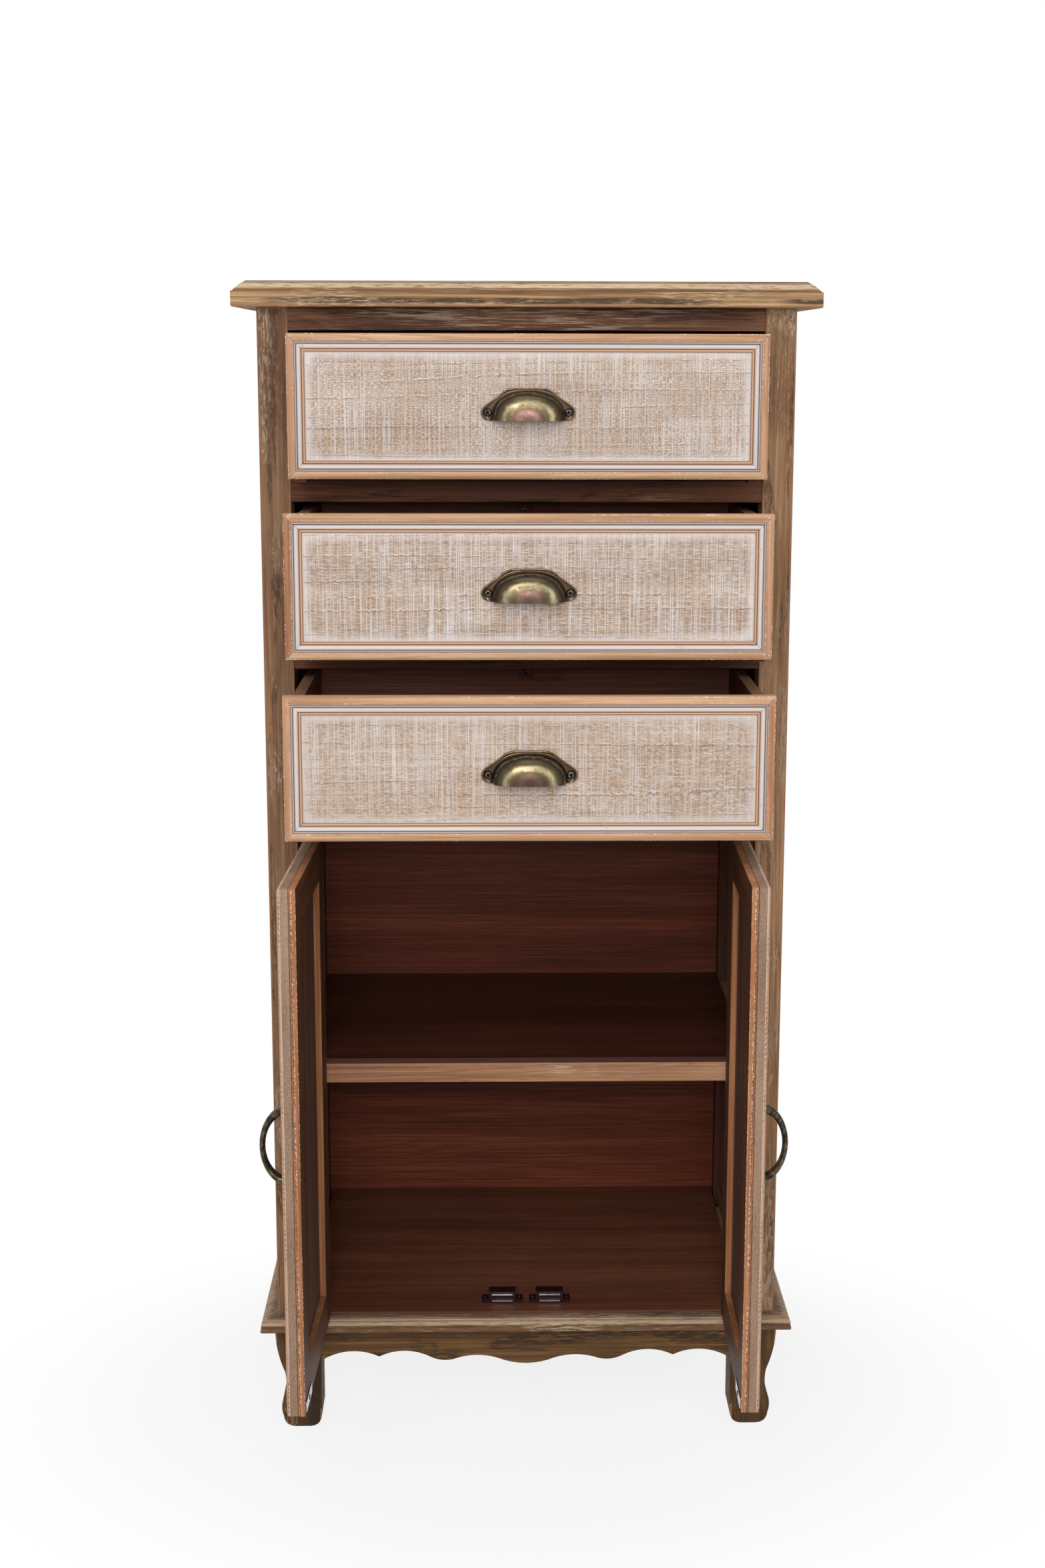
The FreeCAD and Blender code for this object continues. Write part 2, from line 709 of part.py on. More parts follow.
def base_moulding():
    """Front and side strips, mitred where they meet."""
    profile = scaled(base_shares, size.base_projection, size.base_height, 0, size.leg_height)
    reach = half_case + size.base_projection
    strips = []
    toward_front = tuple(flip_pairs(profile, front))
    strip = slab("base_front_strip", "YZ_Plane", toward_front, -reach, reach * 2)
    mitre = ((-half_case, front), (-reach, front - size.base_projection), (-reach, front))
    for sign in (1, -1):
        corner = tuple((x * sign, y) for x, y in mitre)
        cutter = slab("base_front_mitre", "XY_Plane", corner, 0, size.leg_height + size.base_height)
        strip = cut("base_front_cut", strip, cutter)
    strips.append(strip)
    toward_left = tuple(flip_pairs(profile, -half_case))
    near = front - size.base_projection
    side = slab("base_side_strip", "XZ_Plane", toward_left, near, back - near)
    corner = ((-half_case, front), (-reach, near), (-half_case, near))
    cutter = slab("base_side_mitre", "XY_Plane", corner, 0, size.leg_height + size.base_height)
    side = cut("base_side_cut", side, cutter)
    strips.extend([side, mirrored("base_side_mirror", side)])
    export_as("base_moulding", group("base_moulding", strips))


def flip_pairs(profile, wall):
    """A profile whose first coordinates are measured outwards, to the negative side, from a wall."""
    for item in profile:
        yield tuple(wall - part if index % 2 == 0 else part for index, part in enumerate(item))


def legs():
    """Sawn legs, curved on both outer faces, less so in front: what two outlines share."""
    left = -half_case - size.leg_proud
    inner = left + size.leg_width
    for name, face, direction in (
        ("front", front - size.leg_proud, 1), ("rear", back + size.leg_proud, -1),
    ):
        seen_from_front = scaled(leg_outline_shares, -size.leg_width, size.leg_height, inner)
        inner_face = face + size.leg_width * direction
        seen_from_side = scaled(
            leg_side_shares, size.leg_width * -direction, size.leg_height, inner_face)
        start = face if direction > 0 else inner_face
        across = slab(name + "_leg_across", "XZ_Plane", seen_from_front, start, size.leg_width)
        along = slab(name + "_leg_along", "YZ_Plane", seen_from_side, left, size.leg_width)
        leg = doc.addObject("Part::Common", name + "_leg")
        leg.Base = across
        leg.Tool = along
        export_as(name + "_left_leg", leg)
        export_as(name + "_right_leg", mirrored(name + "_leg_mirror", leg))


def aprons():
    """Scalloped front apron, and plain arched ones at the sides and the back."""
    scallop = scaled(apron_scallop_shares, leg_inner, -size.apron_drop, 0, size.leg_height)
    outline = ((-leg_inner, floor_under), (leg_inner, floor_under)) + scallop
    near = front + size.apron_setback
    export_as("front_apron", slab("front_apron", "XZ_Plane", outline, near, size.apron_thickness))
    low = size.leg_height - size.plain_apron_drop
    arch = low + size.plain_apron_arch
    outer = half_case - size.side_apron_inset
    middle = (front + back) / 2
    side = slab("side_apron", "YZ_Plane", (
        (front_leg_back, size.leg_height), (rear_leg_front, size.leg_height),
        (rear_leg_front, low), (middle, arch, front_leg_back, low),
    ), -outer, size.apron_thickness)
    rear = slab("rear_apron", "XZ_Plane", (
        (-leg_inner, floor_under), (leg_inner, floor_under), (leg_inner, low),
        (0, arch, -leg_inner, low),
    ), back_face - size.apron_thickness, size.apron_thickness)
    pieces = [side, mirrored("side_apron_mirror", side), rear]
    export_as("side_and_rear_aprons", group("side_and_rear_aprons", pieces))


def catches():
    """Two magnetic catches on the floor, their steel plates let into the housings."""
    half_width = size.catch_width / 2
    half_body = size.catch_body_width / 2
    ear = floor_top + size.catch_ear_height
    top = floor_top + size.catch_height
    door_inner = front + size.moulding_rise + size.door_core + size.door_frame_thickness
    plate_front = door_inner + size.strike_thickness + size.catch_air
    case_front = plate_front + size.catch_plate_proud
    outline = (
        (-half_width, floor_top), (half_width, floor_top), (half_width, ear), (half_body, ear),
        (half_body, top), (-half_body, top), (-half_body, ear), (-half_width, ear),
    )
    shifted = tuple((x - size.catch_offset, z) for x, z in outline)
    housing = slab("catch_housing", "XZ_Plane", shifted, case_front, size.catch_depth)
    plates = []
    for name, lift in (("low", size.catch_plate_low), ("high", size.catch_plate_high)):
        def plate(kind, lift=lift, name=name):
            return box(
                "catch_%s_%s" % (name, kind), -size.catch_offset - size.catch_plate_width / 2,
                plate_front, floor_top + lift,
                size.catch_plate_width, size.catch_plate_depth, size.catch_plate_thickness,
            )
        plates.append(plate("plate"))
        housing = cut("catch_slotted_" + name, housing, plate("slot"))
    housings = [housing, mirrored("catch_mirror", housing)]
    export_as("magnetic_catches", group("magnetic_catches", housings))
    plates.extend([mirrored(item.Name + "_mirror", item) for item in list(plates)])
    export_as("catch_plates", group("catch_plates", plates))


# Drawers, each made in the closed position and put at its own pull-out

def framed_moulding(name, half_width, bottom, top, face):
    """Moulding swept round a rectangle, its section on the panel whose face is given."""
    body = doc.addObject("PartDesign::Body", name)
    path = outline_sketch(body, "XZ_Plane", (
        (0, bottom), (half_width, bottom), (half_width, top), (-half_width, top),
        (-half_width, bottom),
    ), -face, "Path")
    section = []
    for item in scaled(moulding_shares, size.moulding_width, size.moulding_rise):
        turned = []
        for index in range(0, len(item), 2):
            turned.extend([face - item[index + 1], bottom + item[index]])
        section.append(tuple(turned))
    profile = outline_sketch(body, "YZ_Plane", section, 0, "Section")
    doc.recompute()
    pipe = body.newObject("PartDesign::AdditivePipe", name + "_pipe")
    pipe.Profile = profile
    pipe.Spine = (path, ["Edge%d" % (i + 1) for i in range(len(path.Shape.Edges))])
    pipe.Transition = "Right corner"
    return body


def pull_screw_holes(name, radius, height, start, depth):
    """Two upright-facing rods where a pull's screws go, along Y from start to start + depth."""
    rods = []
    for side in (-1, 1):
        rods.append(cylinder(
            name, size.pull_screw_spacing / 2 * side, start + depth, height,
            radius, depth, LYING_FORWARD,
        ))
    return rods


def drawer_front(name, bottom, pull_out):
    """Panel with the pull's screw holes, and the moulding that frames it."""
    half_width = inner_half - size.front_side_gap
    face = front + size.moulding_rise
    plain = box(
        name + "_front_plain", -half_width, face, bottom,
        half_width * 2, size.front_core, size.front_height,
    )
    screw_height = pull_bottom(bottom) + size.pull_screw_height
    holes = pull_screw_holes(name + "_front_hole", size.pull_screw_shank + size.screw_fit,
                             screw_height, face, size.pull_screw_depth + size.screw_fit)
    panel = cut(name + "_front_bored", plain, fuse(name + "_front_holes", holes))
    place(panel, 0, -pull_out, 0)
    export_as(name + "_drawer_front", panel)
    moulding = framed_moulding(name + "_moulding", half_width, bottom,
                               bottom + size.front_height, face)
    export_as(name + "_drawer_moulding", place(moulding, 0, -pull_out, 0))


def pull_bottom(front_bottom):
    """Lower edge of the cup pull on a drawer front."""
    return front_bottom + size.front_height / 2 + size.pull_raise - size.pull_height / 2


def drawer_box(name, bottom, front_bottom, pull_out):
    """Two grooved sides and a back round a thin bottom panel."""
    outer = inner_half - size.box_clearance
    inner = outer - size.box_wall
    start = front + size.moulding_rise + size.front_core
    top = front_bottom + size.front_height - size.box_top_drop
    groove = bottom + size.bottom_lift
    groove_top = groove + size.bottom_thickness
    groove_side = inner + size.bottom_groove
    outline = (
        (-outer, bottom), (-inner, bottom), (-inner, groove), (-groove_side, groove),
        (-groove_side, groove_top), (-inner, groove_top), (-inner, top), (-outer, top),
    )
    side = slab(name + "_box_side", "XZ_Plane", outline, start, size.box_length)
    back_start = start + size.box_length - size.box_back
    plain_back = box(
        name + "_box_back", -inner, back_start, groove_top,
        inner * 2, size.box_back, top - groove_top,
    )
    pivot = turn_pivot(top)
    hole = cylinder(
        name + "_pivot_hole", 0, back_start + size.turn_screw_depth + size.screw_fit, pivot,
        size.turn_screw_shank + size.screw_fit, size.turn_screw_depth + size.screw_fit,
        LYING_FORWARD,
    )
    bored_back = cut(name + "_box_back_bored", plain_back, hole)
    walls = group(name + "_box", [side, mirrored(name + "_side_mirror", side), bored_back])
    export_as(name + "_drawer_walls", place(walls, 0, -pull_out, 0))
    base = box(
        name + "_bottom", -groove_side, start - pull_out, groove,
        groove_side * 2, size.box_length, size.bottom_thickness,
    )
    export_as(name + "_drawer_bottom", base)
    turning_block(name, back_start, pivot, pull_out)


def turn_pivot(box_top):
    """Height of the turning block's screw."""
    return box_top - size.turn_height / 2


def turning_block(name, wall, pivot, pull_out):
    """Stepped block on the drawer's back: turned up, it keeps the drawer from coming out."""
    left = -size.turn_pivot_inset
    step = left + size.turn_head_length
    right = left + size.turn_length
    wall = wall - size.turn_play
    outline = (
        (left, wall), (left, wall - size.turn_thin), (step, wall - size.turn_thin),
        (step, wall - size.turn_thick), (right, wall - size.turn_thick), (right, wall),
    )
    low = pivot - size.turn_height / 2
    block = slab(name + "_turn_plain", "XY_Plane", outline, low, size.turn_height)
    hole = cylinder(name + "_turn_hole", 0, wall, pivot, size.turn_screw_shank + size.screw_fit,
                    size.turn_thin, LYING_FORWARD)
    bored = cut(name + "_turn_bored", block, hole)
    export_as(name + "_turning_block", place(bored, 0, -pull_out, 0))


def cup_pull(name, bottom, pull_out):
    """Flanged half-cup, open below, with an ear for a screw at each side."""
    outline = scaled(flange_shares, size.pull_width, size.pull_height)
    flange = slab(name + "_flange", "XZ_Plane", outline, -size.pull_flange, size.pull_flange)
    outer = doc.addObject("Part::Ellipsoid", name + "_cup")
    inner = doc.addObject("Part::Ellipsoid", name + "_hollow")
    for item, wall in ((outer, 0), (inner, size.cup_wall)):
        bind(item, "Radius1", size.cup_height - wall)
        bind(item, "Radius2", size.cup_half_width - wall)
        bind(item, "Radius3", size.cup_depth - wall)
    outer.Angle1 = 0
    outer.Angle2 = 90
    outer.Angle3 = 180
    outer.Placement.Rotation = FreeCAD.Rotation(FreeCAD.Vector(0, 0, 1), 180)
    inner.Angle1 = -90
    inner.Angle2 = 90
    solid = fuse(name + "_pull_solid", [flange, outer])
    holes = pull_screw_holes(name + "_pull_hole", size.pull_screw_shank + size.screw_fit,
                             size.pull_screw_height, -size.pull_flange, size.pull_flange)
    hollow = fuse(name + "_pull_hollow", [inner] + holes)
    pull = cut(name + "_pull", solid, hollow)
    face = front + size.moulding_rise - pull_out
    export_as(name + "_cup_pull", place(pull, 0, face, bottom))


def drawer_screws(name, bottom, pivot, pull_out):
    """The pull's two screws and the turning block's one."""
    face = front + size.moulding_rise
    flange_face = face - size.pull_flange
    height = bottom + size.pull_screw_height
    heads = pull_screw_holes(name + "_screw_head", size.pull_screw_radius, height,
                             flange_face - size.pull_screw_head, size.pull_screw_head)
    shanks = pull_screw_holes(name + "_screw_shank", size.pull_screw_shank, height,
                              flange_face, size.pull_flange + size.pull_screw_depth)
    screws = [fuse(name + "_screw", [head, shank]) for head, shank in zip(heads, shanks)]
    wall = face + size.front_core + size.box_length - size.box_back
    reach = size.turn_thin + size.turn_play * 2
    head = cylinder(name + "_turn_head", 0, wall - reach, pivot,
                    size.turn_screw_radius, size.turn_screw_head, LYING_FORWARD)
    shank = cylinder(name + "_turn_shank", 0, wall + size.turn_screw_depth, pivot,
                     size.turn_screw_shank, reach + size.turn_screw_depth, LYING_FORWARD)
    screws.append(fuse(name + "_turn_screw", [head, shank]))
    pieces = group(name + "_screws", screws)
    export_as(name + "_drawer_screws", place(pieces, 0, -pull_out, 0))


def drawers():
    """Three like drawers, one above the other."""
    for level, name, pull_out in (
        (1, "upper", size.upper_pull_out),
        (2, "middle", size.middle_pull_out),
        (3, "lower", size.lower_pull_out),
    ):
        opening_top = rail_under(level - 1)
        front_bottom = opening_top - size.front_top_gap - size.front_height
        box_bottom = rail_under(level) + size.rail_height + size.box_lift
        drawer_front(name, front_bottom, pull_out)
        drawer_box(name, box_bottom, front_bottom, pull_out)
        cup_pull(name, pull_bottom(front_bottom), pull_out)
        pivot = turn_pivot(front_bottom + size.front_height - size.box_top_drop)
        drawer_screws(name, pull_bottom(front_bottom), pivot, pull_out)


# Doors, made closed about their own hinge pin and turned open

door_bottom = floor_top + size.door_bottom_gap
door_top = rail_under(3) - size.door_top_gap
door_edge = size.hinge_leaf + size.hinge_leaf_gap / 2
pin_x = inner_half - door_edge
pin_y = front - size.pin_forward
door_width = pin_x - door_edge - size.door_middle_gap / 2


def span(side, near, far):
    """Lowest value and length of a stretch measured from the pin towards the free edge."""
    return (near if side > 0 else -far), far - near


def at_pin(item, side, angle):
    """Put a piece made about the pin in its place on one side of the cabinet."""
    return place(item, pin_x * -side, pin_y, 0, angle * -side)


def door_board(name, side, near, far, start, thickness, bottom, top):
    """A board of the door in the pin's frame."""
    low, length = span(side, near, far)
    return box(name, low, start, bottom, length, thickness, top - bottom)


def door(name, side, angle):
    """Panel, outer moulding, inner frame, handle, hinge leaves and strike plate."""
    near = door_edge
    far = door_edge + door_width
    face = size.pin_forward + size.moulding_rise
    core_back = face + size.door_core
    frame_back = core_back + size.door_frame_thickness
    panel = door_board(name + "_panel", side, near, far, face, size.door_core,
                       door_bottom, door_top)
    export_as(name + "_door_panel", at_pin(group(name + "_panel_placed", [panel]), side, angle))
    moulding = framed_moulding(name + "_door_moulding", door_width / 2, door_bottom, door_top, face)
    place(moulding, (near + far) / 2 * side, 0, 0)
    export_as(name + "_door_moulding",
              at_pin(group(name + "_moulding_placed", [moulding]), side, angle))
    plain = door_board(name + "_frame_plain", side, near, far, core_back,
                       size.door_frame_thickness, door_bottom, door_top)
    width = size.door_frame_width
    window = door_board(name + "_frame_window", side, near + width, far - width, core_back,
                        size.door_frame_thickness, door_bottom + width, door_top - width)
    export_as(name + "_door_frame", at_pin(cut(name + "_frame", plain, window), side, angle))
    bow_handle(name, side, angle, far - size.handle_inset, face)
    door_leaves(name, side, angle)
    strike = door_board(
        name + "_strike", side, far - size.strike_inset - size.strike_length,
        far - size.strike_inset, frame_back, size.strike_thickness,
        door_bottom + size.strike_lift, door_bottom + size.strike_lift + size.strike_height,
    )
    export_as(name + "_strike_plate",
              at_pin(group(name + "_strike_placed", [strike]), side, angle))


def ellipse(name, major, minor, rotation, x, y, z):
    """An ellipse whose axes and place are tied to the sheet."""
    curve = doc.addObject("Part::Ellipse", name)
    bind(curve, "MajorRadius", major)
    bind(curve, "MinorRadius", minor)
    curve.Placement.Rotation = rotation
    return place(curve, x, y, z)


def bow_handle(name, side, angle, inset, face):
    """Bow swept along half an ellipse, thicker and wider at its two feet."""
    across = FreeCAD.Vector(1, 0, 0)
    out = FreeCAD.Vector(0, -1, 0)
    up = FreeCAD.Vector(0, 0, 1)
    half = size.handle_spacing / 2
    height = (door_bottom + door_top) / 2 + size.handle_raise
    x = inset * side
    spine = ellipse(name + "_bow_line", half, size.handle_reach,
                    FreeCAD.Rotation(up, out, across, "XYZ"), x, face, height)
    spine.Angle1 = 0
    spine.Angle2 = 180
    top = ellipse(name + "_bow_top", size.foot_width / 2, size.foot_thickness / 2,
                  FreeCAD.Rotation(across, up, out, "XYZ"), x, face, height + half)
    middle = ellipse(name + "_bow_middle", size.bow_width / 2, size.bow_thickness / 2,
                     FreeCAD.Rotation(across, out, -up, "XYZ"), x, face - size.handle_reach,
                     height)
    bottom = ellipse(name + "_bow_bottom", size.foot_width / 2, size.foot_thickness / 2,
                     FreeCAD.Rotation(across, -up, -out, "XYZ"), x, face,
                     height - half)
    bow = doc.addObject("Part::Sweep", name + "_bow")
    bow.Sections = [top, middle, bottom]
    bow.Spine = (spine, ["Edge1"])
    bow.Solid = True
    bow.Frenet = False
    export_as(name + "_bow_handle", at_pin(group(name + "_bow_placed", [bow]), side, angle))


def leaf(name, side, moving, bottom):
    """One hinge leaf: a plate with its knuckles, bored for the pin."""
    length = size.hinge_length
    clear = size.knuckle_radius + size.knuckle_gap
    end = size.pin_forward + size.hinge_leaf_reach
    low = length / 3 + size.knuckle_gap / 2
    high = length * 2 / 3 - size.knuckle_gap / 2
    if moving:
        outline = (
            (clear, bottom), (end, bottom), (end, bottom + length), (clear, bottom + length),
            (clear, bottom + high), (0, bottom + high), (0, bottom + low), (clear, bottom + low),
        )
        knuckles = [(bottom + low, high - low)]
        near, far = size.hinge_leaf_gap / 2, door_edge
        bore = size.pin_radius + size.pin_fit
    else:
        low = low - size.knuckle_gap
        high = high + size.knuckle_gap
        outline = (
            (0, bottom), (end, bottom), (end, bottom + length), (0, bottom + length),
            (0, bottom + high), (clear, bottom + high), (clear, bottom + low), (0, bottom + low),
        )
        knuckles = [(bottom, low), (bottom + high, length - high)]
        near, far = -door_edge, size.hinge_leaf_gap / -2
        bore = size.pin_radius
    start, thickness = span(side, near, far)
    plate = slab(name + "_plate", "YZ_Plane", outline, start, thickness)
    rounds = [cylinder(name + "_knuckle", 0, 0, z, size.knuckle_radius, height)
              for z, height in knuckles]
    bored = cylinder(name + "_bore", 0, 0, bottom, bore, length)
    return cut(name, fuse(name + "_solid", [plate] + rounds), bored)


def hinge_places():
    """Lower ends of a door's two hinges."""
    return (door_bottom + size.hinge_inset,
            door_top - size.hinge_inset - size.hinge_length)


def door_leaves(name, side, angle):
    """The two leaves that turn with a door."""
    leaves = [leaf("%s_door_leaf_%d" % (name, index), side, True, z)
              for index, z in enumerate(hinge_places())]
    export_as(name + "_hinge_leaves", at_pin(group(name + "_leaves", leaves), side, angle))


def fixed_hinges():
    """The leaves and pins that stay on the front posts."""
    pieces = []
    for name, side in (("left", 1), ("right", -1)):
        for index, z in enumerate(hinge_places()):
            fixed = leaf("%s_post_leaf_%d" % (name, index), side, False, z)
            pin = cylinder("%s_pin_%d" % (name, index), 0, 0, z, size.pin_radius, size.hinge_length)
            pieces.append(at_pin(group("%s_hinge_%d" % (name, index), [fixed, pin]), side, 0))
    export_as("fixed_hinges", group("fixed_hinges", pieces))


def check_and_write():
    """Stop on a failed object or a bad shape, then write one file for each node."""
    doc.recompute()
    for item in doc.Objects:
        if "Invalid" in item.State or "Error" in item.State:
            raise RuntimeError("%s failed: %s" % (item.Label, item.State))
    os.makedirs("parts", exist_ok=True)
    for label, item in nodes.items():
        shape = item.Shape
        if shape.isNull() or not shape.isValid() or not shape.Solids:
            raise RuntimeError("%s has no sound shape" % label)
        if min(solid.Volume for solid in shape.Solids) <= 0:
            raise RuntimeError("%s is inside out" % label)
        shape.exportStep("parts/%s.step" % label)
        print("%-24s %2d solids %12.1f mm3" % (label, len(shape.Solids), shape.Volume))


top_board()
posts()
side_frames()
front_rails()
back_and_floor()
drawer_runners()
base_moulding()
legs()
aprons()
catches()
drawers()
door("left", 1, size.left_door_angle)
door("right", -1, size.right_door_angle)
fixed_hinges()
check_and_write()
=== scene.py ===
import json
import math

import bmesh
import bpy
from mathutils import Matrix, Vector


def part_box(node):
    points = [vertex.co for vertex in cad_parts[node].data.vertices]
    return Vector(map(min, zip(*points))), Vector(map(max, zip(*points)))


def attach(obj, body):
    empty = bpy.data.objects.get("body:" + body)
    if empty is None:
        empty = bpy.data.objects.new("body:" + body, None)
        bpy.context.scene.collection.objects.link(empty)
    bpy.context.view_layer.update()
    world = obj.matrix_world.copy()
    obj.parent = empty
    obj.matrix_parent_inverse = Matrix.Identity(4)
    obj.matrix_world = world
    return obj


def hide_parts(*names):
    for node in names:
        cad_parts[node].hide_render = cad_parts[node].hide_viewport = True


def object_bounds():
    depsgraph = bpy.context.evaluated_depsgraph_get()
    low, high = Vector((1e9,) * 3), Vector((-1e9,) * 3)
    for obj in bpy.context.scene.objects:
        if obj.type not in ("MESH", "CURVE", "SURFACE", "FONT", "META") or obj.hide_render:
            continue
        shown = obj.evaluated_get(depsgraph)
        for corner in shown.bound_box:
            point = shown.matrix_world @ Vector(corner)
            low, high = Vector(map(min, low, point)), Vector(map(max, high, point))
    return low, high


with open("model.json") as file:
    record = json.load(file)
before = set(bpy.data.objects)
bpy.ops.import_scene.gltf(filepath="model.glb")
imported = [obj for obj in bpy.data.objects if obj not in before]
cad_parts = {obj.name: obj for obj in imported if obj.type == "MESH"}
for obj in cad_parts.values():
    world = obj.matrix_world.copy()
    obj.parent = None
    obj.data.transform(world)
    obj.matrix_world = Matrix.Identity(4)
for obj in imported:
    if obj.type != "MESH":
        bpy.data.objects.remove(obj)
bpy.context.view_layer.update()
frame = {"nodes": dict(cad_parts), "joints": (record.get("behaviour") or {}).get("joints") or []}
nodes = frame["nodes"]
joints = {joint["name"]: joint for joint in frame["joints"]}

DRAWERS = ("upper", "middle", "lower")
DOORS = ("left", "right")
CORNERS = ("front_left", "front_right", "rear_left", "rear_right")


# Small helpers

def tint(red, green, blue):
    """A colour written as it shows on a screen, as the linear values that shaders take."""
    def linear(value):
        share = value / 255
        return share / 12.92 if share <= 0.04045 else ((share + 0.055) / 1.055) ** 2.4
    return (linear(red), linear(green), linear(blue), 1.0)


def grey(value):
    """A ramp's stop for a plain number, such as a roughness."""
    return (value, value, value, 1.0)


class Paint:
    """A material and the few node recipes that all its surfaces share."""

    def __init__(self, name, shift=(0, 0, 0), origin=(0, 0, 0), turn=0.0):
        self.material = bpy.data.materials.new(name)
        self.material.use_nodes = True
        self.tree = self.material.node_tree
        self.tree.nodes.clear()
        self.shader = self.tree.nodes.new("ShaderNodeBsdfPrincipled")
        output = self.tree.nodes.new("ShaderNodeOutputMaterial")
        self.tree.links.new(self.shader.outputs[0], output.inputs[0])
        place = self.tree.nodes.new("ShaderNodeTexCoord").outputs["Object"]
        mapping = self.tree.nodes.new("ShaderNodeMapping")
        mapping.vector_type = "TEXTURE"
        mapping.inputs["Location"].default_value = origin
        mapping.inputs["Rotation"].default_value = (0, 0, turn)
        self.tree.links.new(place, mapping.inputs["Vector"])
        self.local = mapping.outputs[0]
        self.at = self.vector("ADD", self.local, shift)

    def feed(self, socket, value):
        """Link a socket, or set a constant on it."""
        if isinstance(value, bpy.types.NodeSocket):
            self.tree.links.new(value, socket)
        else:
            socket.default_value = value

    def vector(self, operation, first, second):
        """Vector arithmetic."""
        node = self.tree.nodes.new("ShaderNodeVectorMath")
        node.operation = operation
        self.feed(node.inputs[0], first)
        self.feed(node.inputs[1], second)
        return node.outputs[0]

    def math(self, operation, first, second=0.0, third=None):
        """Arithmetic on numbers."""
        node = self.tree.nodes.new("ShaderNodeMath")
        node.operation = operation
        self.feed(node.inputs[0], first)
        self.feed(node.inputs[1], second)
        if third is not None:
            self.feed(node.inputs[2], third)
        return node.outputs[0]

    def times(self, first, *others):
        """The product of several values."""
        for other in others:
            first = self.math("MULTIPLY", first, other)
        return first

    def plus(self, first, *others):
        """The sum of several values."""
        for other in others:
            first = self.math("ADD", first, other)
        return first

    def less(self, first, second):
        """One value less another."""
        return self.math("SUBTRACT", first, second)

    def apart(self, value, middle):
        """How far a value is from a middle one."""
        return self.math("ABSOLUTE", self.less(value, middle))

    def most(self, first, *others):
        """The largest of several values."""
        for other in others:
            first = self.math("MAXIMUM", first, other)
        return first

    def axis(self, name, source=None):
        """One coordinate of the piece's own frame."""
        node = self.tree.nodes.new("ShaderNodeSeparateXYZ")
        self.feed(node.inputs[0], source or self.local)
        return node.outputs["XYZ".index(name)]

    def noise(self, scales, detail, rough=0.55, bend=0.0, shift=0.0):
        """Noise whose cycles per metre along X, Y and Z are given."""
        stretched = self.vector("MULTIPLY", self.at, scales)
        if shift:
            stretched = self.vector("ADD", stretched, (shift, shift * 1.7, shift * 0.6))
        node = self.tree.nodes.new("ShaderNodeTexNoise")
        self.feed(node.inputs["Vector"], stretched)
        node.inputs["Scale"].default_value = 1.0
        node.inputs["Detail"].default_value = detail
        node.inputs["Roughness"].default_value = rough
        node.inputs["Distortion"].default_value = bend
        return node.outputs[0]

    def band(self, value, low, high):
        """0 below low, 1 above high, smooth between; the other way round when low > high."""
        node = self.tree.nodes.new("ShaderNodeMapRange")
        node.interpolation_type = "SMOOTHSTEP"
        ends = (0.0, 1.0) if low < high else (1.0, 0.0)
        self.feed(node.inputs["Value"], value)
        node.inputs["From Min"].default_value = min(low, high)
        node.inputs["From Max"].default_value = max(low, high)
        node.inputs["To Min"].default_value = ends[0]
        node.inputs["To Max"].default_value = ends[1]
        return node.outputs[0]

    def mix(self, under, over, share):
        """One colour laid over another."""
        node = self.tree.nodes.new("ShaderNodeMix")
        node.data_type = "RGBA"
        node.clamp_factor = True
        self.feed(node.inputs["Factor"], share)
        self.feed(node.inputs[6], under)
        self.feed(node.inputs[7], over)
        return node.outputs[2]

    def ramp(self, value, stops):
        """A colour for each stretch of a value."""
        node = self.tree.nodes.new("ShaderNodeValToRGB")
        self.feed(node.inputs[0], value)
        elements = node.color_ramp.elements
        while len(elements) > 1:
            elements.remove(elements[-1])
        elements[0].position, elements[0].color = stops[0]
        for position, colour in stops[1:]:
            elements.new(position).color = colour
        return node.outputs[0]

    def lines(self, field, count, width):
        """Thin lines where a field of values crosses evenly spaced levels."""
        level = self.math("FRACT", self.times(field, count))
        return self.band(self.apart(level, 0.5), width, width * 0.3)

    def done(self, colour, roughness, height=None, depth=0.0004, metal=0.0, gloss=0.2):
        """Feed the shader and return the material."""
        self.feed(self.shader.inputs["Base Color"], colour)
        self.feed(self.shader.inputs["Roughness"], roughness)
        self.shader.inputs["Metallic"].default_value = metal
        self.shader.inputs["Specular IOR Level"].default_value = gloss
        if height is not None:
            bump = self.tree.nodes.new("ShaderNodeBump")
            bump.inputs["Strength"].default_value = 0.8
            bump.inputs["Distance"].default_value = depth
            self.feed(bump.inputs["Height"], height)
            self.tree.links.new(bump.outputs[0], self.shader.inputs["Normal"])
        return self.material


def show(node, material):
    """Give a CAD node its material."""
    slots = nodes[node].data.materials
    if not slots:
        slots.append(material)
    for index in range(len(slots)):
        slots[index] = material


# Woods

def stretch(axis, along, across):
    """Noise scales for a grain that runs along one axis."""
    return tuple(along if name == axis else across for name in "XYZ")


